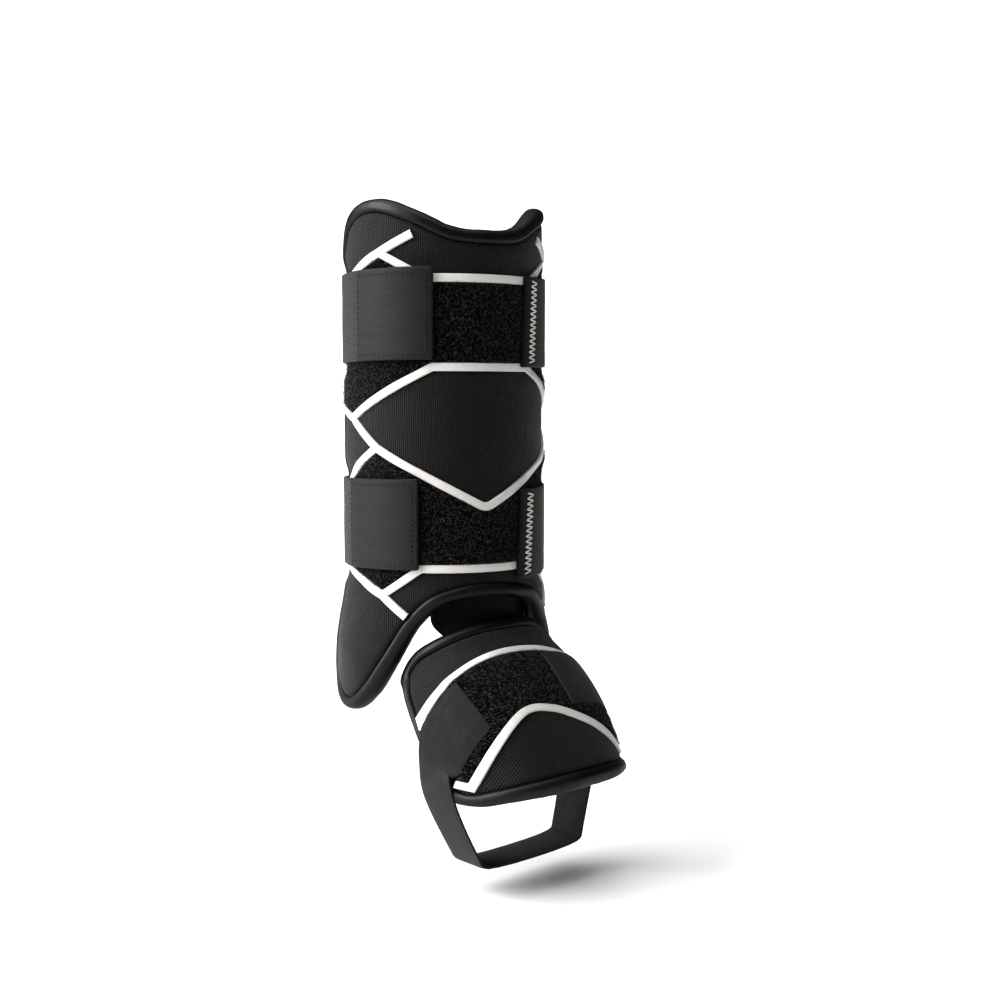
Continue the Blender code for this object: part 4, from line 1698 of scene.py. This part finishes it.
@dataclass(frozen=True)
class ElasticStrap:
    """One elastic strap, from its sewn end round the back of the leg to its tab, with its stitching."""

    name: str
    middle: float
    fall: float
    calf_radius: float
    sewn_end: float
    tab_end: float
    leaves_shell: float = 128.0
    meets_calf: float = 164.0
    hook_length: float = 0.046
    hook_margin: float = 0.004
    lift_blend: float = 14.0
    corner: float = 0.0014
    tab_hem: float = 0.0038
    side_hem: float = 0.0036
    seam_hem: float = 0.0012
    stitch: float = 0.0021
    stitch_pitch: float = 0.0031
    stitch_steps: int = 4
    stitch_arch: float = 1.5
    stitch_sunk: float = 0.7
    thread: float = 0.00027
    thread_sides: int = 6
    sewn_shift: float = 0.0026
    sewn_lean: float = 0.0016
    doubled_length: float = 0.0300
    doubled_rise: float = 0.0012
    doubled_blend: float = 0.0012
    zigzags: int = 15
    zigzag_half: float = 0.0029
    zigzag_hem: float = 0.0026
    zigzag_inset: float = 0.0068
    zigzag_rises: Flat = (0.75, 0.35)
    zigzag_steps: int = 4
    zigzag_thread: float = 0.00052
    zigzag_sides: int = 7
    grid: float = 0.0030

    def place(self, arc: float, height: float, proud: float) -> Vector:
        """A point on the strap.

        Args:
            arc: Arc length from the front, to the right and round the back.
            height: Height from the strap's middle.
            proud: Height over the strap's inner face.

        Returns:
            The point in space.
        """
        degrees = math.degrees(arc / SHIN.radius)
        from_front = min(degrees, 360.0 - degrees)
        leaving = (from_front - self.leaves_shell) / (self.meets_calf - self.leaves_shell)
        hook_turn = math.degrees((self.hook_length + self.hook_margin) / SHIN.radius)
        lifting = (degrees - self.tab_end + hook_turn + self.lift_blend) / self.lift_blend
        on_shell = SHIN.radius - SHIN.recess + LAYERS.strap_seat()
        on_shell += (LAYERS.hook_thickness + LAYERS.clearance) * smoothed(lifting)
        reach = on_shell + (self.calf_radius - on_shell) * smoothed(leaving) + proud
        run = (self.tab_end - degrees) / (self.tab_end - self.sewn_end)
        height += self.middle - self.fall * run
        angle = math.radians(degrees)
        return Vector((reach * math.sin(angle), -reach * math.cos(angle), height))

    def ends(self) -> Flat:
        """Arc lengths of the sewn end and of the tab's end."""
        return math.radians(self.sewn_end) * SHIN.radius, math.radians(self.tab_end) * SHIN.radius

    def covers(self, arc: float, height: float) -> bool:
        """Whether the strap lies over a flat point of the shin form.

        Args:
            arc: The point's arc from the middle.
            height: Its height.

        Returns:
            True where the strap covers it.
        """
        sewn, tab = self.ends()
        around = math.tau * SHIN.radius
        if tab - around < arc < sewn + self.sewn_shift:
            return False
        run = (tab - arc % around) / (tab - sewn)
        return abs(height - self.middle + self.fall * run) < SHIN.strap_width / 2.0

    def stitches(self, corners: Sequence[Flat], proud: float) -> bmesh.types.BMesh:
        """Sews a dashed line.

        Args:
            corners: The corners of the line, flat.
            proud: The height of the fabric's face.

        Returns:
            The threads.
        """
        body = bmesh.new()
        for start, end in zip(corners, corners[1:]):
            first, last = Vector(start), Vector(end)
            count = max(1, round((last - first).length / self.stitch_pitch))
            along = (last - first).normalized()
            for index in range(count):
                middle = first.lerp(last, (index + 0.5) / count)
                line = []
                for step in range(self.stitch_steps + 1):
                    share = step / self.stitch_steps
                    at = middle + along * self.stitch * (share - 0.5)
                    arch = self.stitch_arch * math.sin(math.pi * share) - self.stitch_sunk
                    line.append(self.place(at.x, at.y, proud + self.thread * arch))
                thread_tube(body, line, self.thread, self.thread_sides)
        return body

    def zigzag(self, arc: float, proud: float) -> bmesh.types.BMesh:
        """Sews the zigzag of the sewn end.

        Args:
            arc: The arc length of its middle.
            proud: The height of the fabric's face.

        Returns:
            The thread.
        """
        half = SHIN.strap_width / 2.0 - self.zigzag_hem
        turns = []
        for index in range(2 * self.zigzags + 1):
            share = index / (2 * self.zigzags)
            side = self.zigzag_half if index % 2 else -self.zigzag_half
            rise = proud + self.zigzag_thread * self.zigzag_rises[index % 2]
            height = half - 2.0 * half * share
            turns.append(self.place(arc + side + self.leaning(height), height, rise))
        body = bmesh.new()
        thread_tube(body, curved(turns, self.zigzag_steps), self.zigzag_thread, self.zigzag_sides)
        return body

    def leaning(self, height: float) -> float:
        """How far the sewn end is moved along the strap at a height from its middle."""
        return self.sewn_shift + self.sewn_lean * height / (SHIN.strap_width / 2.0)

    def doubled(self, arc: float, height: float) -> float:
        """The strap's unevenness, with its doubled fabric at the sewn end.

        Args:
            arc: The place round the leg.
            height: The place up.

        Returns:
            How far the face stands out.
        """
        sewn, _ = self.ends()
        past = (arc - sewn - self.doubled_length) / self.doubled_blend
        return self.doubled_rise * (1.0 - smoothed(past)) + self.slackness(arc, height)

    def build(self, finishes: Finishes) -> list[bpy.types.Object]:
        """Builds the strap.

        Args:
            finishes: The materials.

        Returns:
            Its pieces.
        """
        sewn, tab = self.ends()
        half = SHIN.strap_width / 2.0
        inner_line = tab - self.hook_margin - self.hook_length
        doubled = sewn + self.doubled_length
        elastic = RibbedElastic(f"{self.name}_ribbed_elastic", inner_line, doubled).make()
        profile = Profile(0.0, LAYERS.strap_thickness, 0.45, 0.0008)
        outline = rounded_rectangle(sewn, tab, -half, half, [self.corner] * 4, 5)
        near = (sewn + tab) / 2.0
        outline = [(arc + (self.leaning(height) if arc < near else 0.0), height) for arc, height in outline]
        body = wrapped_sheet(outline, profile, self.grid, self.place, self.doubled)
        pieces = [shown(f"{self.name}_elastic_strap", body, elastic, Slot.STRAP, [f"{self.name}_strap"])]
        far = tab - self.hook_margin
        high = half - self.hook_margin
        base = -LAYERS.clearance - LAYERS.hook_thickness
        profile = Profile(base, -LAYERS.clearance, 0.6, 0.0006)
        outline = rounded_rectangle(far - self.hook_length, far, -high, high, [self.corner] * 4, 4)
        body = wrapped_sheet(outline, profile, self.grid, self.place)
        nodes = [f"{self.name}_hook_patch"]
        pieces.append(shown(f"{self.name}_hook_tape", body, finishes.hook, Slot.HOOK, nodes))
        face = LAYERS.strap_thickness
        right = tab - self.tab_hem
        top = half - self.side_hem
        body = self.stitches([(inner_line, -top), (right, -top), (right, top), (inner_line, top)], face)
        pieces.append(shown(f"{self.name}_tab_stitches", body, finishes.black_thread, Slot.STRAP))
        seam = half - self.seam_hem
        body = self.stitches([(inner_line, -seam), (inner_line, seam)], face)
        pieces.append(shown(f"{self.name}_seam_stitches", body, finishes.grey_thread, Slot.STRAP))
        body = self.zigzag(sewn + self.zigzag_inset, face + self.doubled_rise)
        pieces.append(shown(f"{self.name}_end_zigzag", body, finishes.pale_thread, Slot.TRIM))
        return pieces

    @staticmethod
    def slackness(arc: float, height: float) -> float:
        """The strap's slight unevenness at a flat point."""
        return 0.00012 * unevenness(Vector((arc * 0.5, height, 0.7)), 0.009)


@dataclass(frozen=True)
class FootPad(MouldedPad):
    """The moulded pad on the instep, with its loop band and its lines."""

    part: str = "foot"
    fill: float = 0.85
    edge: RolledEdge = field(default_factory=lambda: RolledEdge(0.0074, 0.0030))
    corners: tuple[float, ...] = (0.0110, 0.0300, 0.0110, 0.0110)
    corner_steps: int = 9
    narrow_from: float = 0.66
    narrow_blend: float = 0.32
    narrow_ends: float = 0.30
    line_width: float = 0.0044
    line_steps: int = 3
    loop_band: LoopBand = LoopBand("foot", 6500, 13, rounding=0.0012)
    upper_rows: tuple[Flat, ...] = (
        (-0.972, 0.428),
        (-0.968, 0.505),
        (-0.865, 0.605),
        (-0.786, 0.667),
        (-0.707, 0.722),
        (-0.543, 0.783),
        (-0.351, 0.814),
        (-0.132, 0.818),
        (0.096, 0.799),
        (0.300, 0.748),
        (0.500, 0.677),
        (0.610, 0.590),
        (0.670, 0.463),
    )
    lower_rows: tuple[Flat, ...] = (
        (-0.945, 0.083),
        (-0.863, 0.044),
        (-0.754, 0.130),
        (-0.639, 0.217),
        (-0.515, 0.304),
        (-0.401, 0.372),
        (-0.313, 0.406),
        (-0.224, 0.413),
        (-0.127, 0.396),
        (-0.014, 0.362),
        (0.227, 0.246),
        (0.420, 0.130),
        (0.530, 0.060),
        (0.620, 0.050),
    )

    def narrowing(self, point: Vector) -> float:
        """How narrow the rolled edge is at a point of the outline: it is narrow on the left side.

        Args:
            point: The outline's flat point.

        Returns:
            A share from 0 to 1, the narrowest.
        """
        side = smoothed((-point.x / FOOT.half_arc - self.narrow_from) / self.narrow_blend)
        along = point.y / FOOT.length()
        return side * (smoothed(along / self.narrow_ends) * smoothed((1.0 - along) / self.narrow_ends))

    def outline(self) -> list[Flat]:
        """The shell's flat outline, anticlockwise."""
        right = FOOT.half_arc * FOOT.right_share
        return rounded_rectangle(-FOOT.half_arc, right, 0.0, FOOT.length(), self.corners, self.corner_steps)

    def line(self, rows: Sequence[Flat]) -> list[Vector]:
        """The smooth middle of one line, between its first and last points."""
        points = [FOOT.point(*row) for row in rows]
        return points[:1] + curved(points[1:-1], self.line_steps) + points[-1:]

    def moulding(self, across: float, up: float) -> float:
        """The shell's slight unevenness at a flat point."""
        here = Vector((across, up, 0.5))
        return 0.00030 * unevenness(here, 0.020) + 0.00010 * unevenness(here, 0.007)

    def build(self, strap: "FootStrap", finishes: Finishes) -> list[bpy.types.Object]:
        """Builds the pad.

        Args:
            strap: The strap that closes on it.
            finishes: The materials.

        Returns:
            Its pieces.
        """
        outline = [Vector(point) for point in self.outline()]
        pieces = self.layers(outline, FOOT.place, finishes.foot_shell, finishes)
        upper, lower = self.line(self.upper_rows), self.line(self.lower_rows)
        for name, line in (("upper", upper), ("lower", lower)):
            points = dict(enumerate(line))
            pairs = list(zip(points, list(points)[1:]))
            strips = PatternPiece.strips(points, pairs, self.line_width, LINE_PROFILE.rings())
            strips.divide(0, self.grid).divide(1, self.grid)
            body = strips.wrapped(FOOT.place, LINE_PROFILE)
            pieces.append(shown(f"foot_{name}_line", body, finishes.trim, Slot.TRIM, [f"foot_{name}_trim"]))
        band = [tuple(point) for point in lower + list(reversed(upper))]
        band = moved_in(band, self.line_width / 2.0 + LAYERS.clearance)
        return pieces + self.loop_band.build(band, FOOT.place, strap.covers, finishes)


@dataclass(frozen=True)
class InstepPiece:
    """The thin stretch piece between the shin pad's arch and the foot pad."""

    left_wrap: float = 50.0
    right_wrap: float = 42.0
    spread: float = 78.0
    thickness: float = 0.0015
    lap: float = 0.0060
    drop: float = 0.0144
    space: float = 0.0008
    foot_reach: float = 0.0070
    columns: int = 44
    rows: int = 6
    pattern_steps: Flat = (0.0016, 0.0030)
    fold: float = 0.0005
    fold_size: float = 0.006

    def column(self, pad: ShinPad, foot_edge: float, share: float) -> list[Vector]:
        """One column of points on the inner face, from the shin down to the foot pad.

        Args:
            pad: The shin pad.
            foot_edge: The distance of the piece's lower edge from the foot pad's toe end.
            share: The column's place, from 0 on the left to 1 on the right.

        Returns:
            The points.
        """
        turn = share * (self.left_wrap + self.right_wrap) - self.left_wrap
        arc = math.radians(FOOT.turn + turn) * SHIN.radius
        foot_arc = FOOT.half_arc * turn / self.spread
        inner_face = LAYERS.liner()[0] - self.space - self.thickness
        foot_middle = -(LAYERS.wall + LAYERS.liner_wall + self.thickness) / 2.0
        edge = pad.arch_height(arc)
        corners = [
            SHIN.place(arc, edge + self.lap, inner_face),
            SHIN.place(arc, edge - self.drop, inner_face),
            FOOT.place(foot_arc, foot_edge, foot_middle),
        ]
        return curved(corners, self.rows)

    def build(self, pad: ShinPad, finishes: Finishes) -> list[bpy.types.Object]:
        """Builds the piece.

        Args:
            pad: The shin pad.
            finishes: The materials.

        Returns:
            The piece, in a list.
        """
        foot_edge = FOOT.length() + self.foot_reach + LAYERS.edge_clearance
        grid = [self.column(pad, foot_edge, index / self.columns) for index in range(self.columns + 1)]
        last_row = len(grid[0]) - 1
        rings = []
        flats = []
        for index, column in enumerate(grid):
            before, after = grid[max(index - 1, 0)], grid[min(index + 1, self.columns)]
            inner = []
            outer = []
            for row, point in enumerate(column):
                across = after[row] - before[row]
                down = column[min(row + 1, last_row)] - column[max(row - 1, 0)]
                out = down.cross(across).normalized()
                wave = math.sin(math.pi * row / last_row) ** 2
                stretched = Vector((point.x * 0.4, point.y * 0.4, point.z))
                fold = self.fold * wave * unevenness(stretched, self.fold_size)
                inner.append(point + out * fold)
                outer.append(point + out * (self.thickness + fold))
            rings.append(outer + list(reversed(inner)))
            across_step, down_step = self.pattern_steps
            places = [(index * across_step, row * down_step) for row in range(last_row + 1)]
            flats.append(places + list(reversed(places)))
        body = lofted(rings, flats, closed=False)
        piece = shown("instep_stretch_piece", body, finishes.stretch, Slot.LINER, ["instep_gusset"])
        width = max(
            sum((after[row] - before[row]).length for before, after in zip(grid, grid[1:]))
            for row in range(last_row + 1)
        )
        length = max(sum((low - high).length for high, low in zip(column, column[1:])) for column in grid)
        area = sum(
            ((after[row] - before[row + 1]).cross(after[row + 1] - before[row])).length / 2.0
            for before, after in zip(grid, grid[1:])
            for row in range(last_row)
        )
        LOG.info("instep piece: %.4f m wide, %.4f m long, %.6f m2", width, length, area)
        return [piece]


@dataclass(frozen=True)
class FootStrap:
    """The flat strap under the foot, with a tab on each side of the pad."""

    thickness: float = 0.0018
    rim: float = 0.0003
    space: float = 0.0003
    columns: int = 8
    steps: int = 4
    sole_height: float = -0.2330
    sole_forward: float = 0.0640
    side_height: float = -0.1620
    right_share: float = 0.90
    left_share: float = 0.945
    left_tab: tuple[tuple[float, ...], ...] = (
        (0.588, 0.351, 0.678, 0.687),
        (0.670, 0.299, 0.820, 0.589),
        (0.751, 0.241, 0.962, 0.463),
        (0.830, 0.179, 1.010, 0.381),
        (0.906, 0.117, 1.045, 0.310),
    )
    right_tab: tuple[tuple[float, ...], ...] = (
        (0.083, 0.385, 0.083, 0.756),
        (0.250, 0.370, 0.250, 0.745),
        (0.420, 0.345, 0.430, 0.705),
        (0.560, 0.310, 0.580, 0.640),
        (0.680, 0.250, 0.700, 0.540),
        (0.770, 0.185, 0.790, 0.430),
        (0.850, 0.117, 0.870, 0.330),
    )
    run: tuple[tuple[float, ...], ...] = (
        (1.08, 0.86, 0.78, 1.17),
        (1.03, 0.62, 0.76, 1.19),
        (0.88, 0.32, 0.82, 1.22),
        (0.74, 0.09, 0.87, 1.26),
    )
    sole: tuple[float, ...] = (0.55, -0.55)
    easing: int = 3

    @staticmethod
    def eased(rows: Sequence[Sequence[Vector]], index: int) -> list[Vector]:
        """One row of points, pulled halfway to the middle of its neighbours."""
        nearby = zip(rows[index - 1], rows[index], rows[index + 1])
        return [(before + point * 2.0 + after) / 4.0 for before, point, after in nearby]

    def covers(self, arc: float, along: float) -> bool:
        """Whether one of the tabs lies over a flat point of the foot pad.

        Args:
            arc: The point's arc from the middle.
            along: Its place along the foot.

        Returns:
            True where a tab covers it.
        """
        for rows, side in ((self.left_tab, Side.LEFT), (self.right_tab, Side.RIGHT)):
            toe = [(row[0] * side.value, row[1]) for row in rows]
            shin = [(row[2] * side.value, row[3]) for row in reversed(rows)]
            if inside(toe + shin, arc / FOOT.half_arc, along / FOOT.length()):
                return True
        return False

    def tab_rows(self, rows: Sequence[Sequence[float]], side: Side) -> list[list[Vector]]:
        """Rows of points across one tab, on the strap's inner face, from the tab's end outward.

        Args:
            rows: The tab's rows: arc share and length share of the toe edge, then of the shin edge.
            side: The tab's side.

        Returns:
            The rows, each from the toe edge to the shin edge.
        """
        seat = LAYERS.strap_seat() + self.space
        made = []
        for toe_arc, toe_along, shin_arc, shin_along in curved([Vector(row) for row in rows], self.steps):
            toe = FOOT.point(toe_arc * side.value, toe_along)
            shin = FOOT.point(shin_arc * side.value, shin_along)
            across = [toe.lerp(shin, index / self.columns) for index in range(self.columns + 1)]
            made.append([FOOT.place(point.x, point.y, seat) for point in across])
        return made

    def free_rows(self) -> list[list[Vector]]:
        """Rows of points across the free run, from below the right tab, under the foot, to the left.

        Returns:
            The rows, each from the toe's edge to the heel's.
        """
        rows = [(out * self.right_share, up, heel, toe) for out, up, heel, toe in self.run]
        _, _, heel, toe = rows[-1]
        rows += [(out, 0.0, heel, toe) for out in self.sole]
        rows += [(-out * self.left_share, up, heel, toe) for out, up, heel, toe in reversed(self.run)]
        edges = []
        for out, up, heel, toe in rows:
            lateral = FOOT.half_width * out
            height = self.sole_height + (self.side_height - self.sole_height) * up
            edge = FOOT.to_world(self.sole_forward * toe, lateral, height)
            edges.append((edge, FOOT.to_world(self.sole_forward * heel, lateral, height)))
        shares = [index / self.columns for index in range(self.columns + 1)]
        return [[toe.lerp(heel, share) for share in shares] for toe, heel in edges]

    def build(self, finishes: Finishes) -> list[bpy.types.Object]:
        """Builds the strap.

        Args:
            finishes: The materials.

        Returns:
            Its pieces.
        """
        right = self.tab_rows(self.right_tab, Side.RIGHT)
        left = self.tab_rows(self.left_tab, Side.LEFT)[::-1]
        free = self.free_rows()
        joined = [right[-1 - self.steps], right[-1]] + free + [left[0], left[self.steps]]
        smooth_columns = [curved(list(column), self.steps) for column in zip(*joined)]
        middle = [list(row) for row in zip(*smooth_columns)][self.steps + 1 : -1 - self.steps]
        rows = right + middle + left
        first_eased = len(right) - self.steps
        last_eased = len(rows) - len(left) + self.steps
        for _ in range(self.easing):
            rows = [
                self.eased(rows, index) if first_eased <= index < last_eased else row
                for index, row in enumerate(rows)
            ]
        last = len(rows) - 1
        rings = []
        flats = []
        along = 0.0
        for index, row in enumerate(rows):
            before, after = rows[max(index - 1, 0)], rows[min(index + 1, last)]
            if index:
                along += (row[self.columns // 2] - rows[index - 1][self.columns // 2]).length
            inner = []
            outer = []
            for column, point in enumerate(row):
                way = after[column] - before[column]
                across = row[min(column + 1, self.columns)] - row[max(column - 1, 0)]
                out = across.cross(way).normalized()
                rim = self.rim if column in (0, self.columns) else 0.0
                inner.append(point + out * rim)
                outer.append(point + out * (self.thickness - rim))
            rings.append(inner + list(reversed(outer)))
            width = (row[-1] - row[0]).length
            places = [(along, width * column / self.columns) for column in range(self.columns + 1)]
            flats.append(places + list(reversed(places)))
        body = lofted(rings, flats, closed=False)
        return [shown("under_foot_strap", body, finishes.webbing, Slot.FOOT_STRAP, ["foot_strap"])]


# Studio


@dataclass(frozen=True)
class Lamp:
    """One far, broad and soft lamp: where it shines from, its strength, its breadth and its colour."""

    name: str
    source: tuple[float, float, float]
    strength: float
    degrees: float
    colour: Colour

    def hang(self) -> None:
        """Adds the lamp to the scene."""
        light = bpy.data.lights.new(self.name, "SUN")
        light.angle = math.radians(self.degrees)
        light.energy = self.strength
        light.color = self.colour
        made = bpy.data.objects.new(self.name, light)
        made.location = self.source
        made.rotation_mode = "QUATERNION"
        made.rotation_quaternion = (-Vector(self.source)).to_track_quat("-Z", "Y")
        bpy.context.scene.collection.objects.link(made)


@dataclass(frozen=True)
class Studio:
    """The floor, the light and the camera."""

    floor_height: float = -0.250
    floor_size: float = 6.0
    floor_parts: int = 8
    floor_tones: tuple[Colour, Colour] = ((0.86, 0.86, 0.86), (0.88, 0.88, 0.88))
    camera_at: tuple[float, float, float] = (-0.351, -0.774, 0.041)
    heading: float = 26.72
    pitch: float = -4.57
    focal_pixels: float = 1375.0
    image_pixels: float = 1000.0
    sensor: float = 36.0
    backdrop: float = 1.0
    ambient: float = 0.08
    lamps: tuple[Lamp, ...] = (
        Lamp("window_light", (-1.45, 0.30, 0.65), 4.7, 55.0, (1.0, 0.985, 0.965)),
        Lamp("ceiling_light", (-0.42, 0.05, 1.60), 2.1, 70.0, (1.0, 1.0, 1.0)),
    )

    def floor(self) -> None:
        """Lays a plain pale floor."""
        body = bmesh.new()
        parts = self.floor_parts
        bmesh.ops.create_grid(body, x_segments=parts, y_segments=parts, size=self.floor_size)
        mesh = bpy.data.meshes.new("studio_floor")
        body.to_mesh(mesh)
        body.free()
        paint = Material("studio_floor")
        cloud = paint.cloudy(paint.space(), 3.0, 2.0)
        colour = paint.mixed(cloud, *self.floor_tones)
        mesh.materials.append(paint.finished(colour, 0.85, specular=0.2))
        floor = bpy.data.objects.new("studio_floor", mesh)
        floor.location.z = self.floor_height
        bpy.context.scene.collection.objects.link(floor)

    def light(self) -> None:
        """Sets up soft light from the left, softer light from above and a weak even fill."""
        world = bpy.data.worlds.new("studio_world")
        world.use_nodes = True
        tree = world.node_tree
        background = tree.nodes["Background"]
        background.inputs["Color"].default_value = (1.0, 1.0, 1.0, 1.0)
        seen = tree.nodes.new("ShaderNodeLightPath")
        strength = Value(tree, seen.outputs["Is Camera Ray"]) * (self.backdrop - self.ambient) + self.ambient
        feed(tree, background.inputs["Strength"], strength)
        bpy.context.scene.world = world
        for lamp in self.lamps:
            lamp.hang()

    def camera(self) -> None:
        """Places the camera at the photograph's viewing angle."""
        data = bpy.data.cameras.new("camera")
        data.sensor_width = self.sensor
        data.lens = self.focal_pixels / self.image_pixels * self.sensor
        data.dof.use_dof = False
        data.clip_start = 0.01
        made = bpy.data.objects.new("camera", data)
        heading = math.radians(self.heading)
        pitch = math.radians(self.pitch)
        level = math.cos(pitch)
        ahead = Vector((math.sin(heading) * level, math.cos(heading) * level, math.sin(pitch)))
        made.location = self.camera_at
        made.rotation_mode = "QUATERNION"
        made.rotation_quaternion = ahead.to_track_quat("-Z", "Y")
        bpy.context.scene.collection.objects.link(made)
        bpy.context.scene.camera = made

    def build(self) -> None:
        """Sets up the whole studio."""
        self.floor()
        self.light()
        self.camera()
        view = bpy.context.scene.view_settings
        view.view_transform = "Standard"
        view.look = "High Contrast"
        view.exposure = 0.0
        view.gamma = 1.0


def main() -> None:
    """Builds the dressed guard and the studio."""
    logging.basicConfig(level=logging.INFO, format="%(name)s %(message)s")
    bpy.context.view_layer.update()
    Studio().build()
    finishes = Finishes()
    pad = ShinPad()
    pieces = pad.build(finishes)
    upper, lower = SHIN.bands
    straps = {
        "upper": ElasticStrap("upper", *upper, calf_radius=0.0520, sewn_end=23.0, tab_end=330.0),
        "lower": ElasticStrap("lower", *lower, calf_radius=0.0480, sewn_end=19.5, tab_end=321.5),
    }
    pieces += ShinLines().build(straps, finishes)
    for strap in straps.values():
        pieces += strap.build(finishes)
    foot_strap = FootStrap()
    pieces += FootPad().build(foot_strap, finishes)
    pieces += InstepPiece().build(pad, finishes)
    pieces += foot_strap.build(finishes)
    for piece in pieces:
        LOG.info("%s: %d faces", piece.name, len(piece.data.polygons))
    LOG.info("%d pieces", len(pieces))


if __name__ == "__main__":
    main()
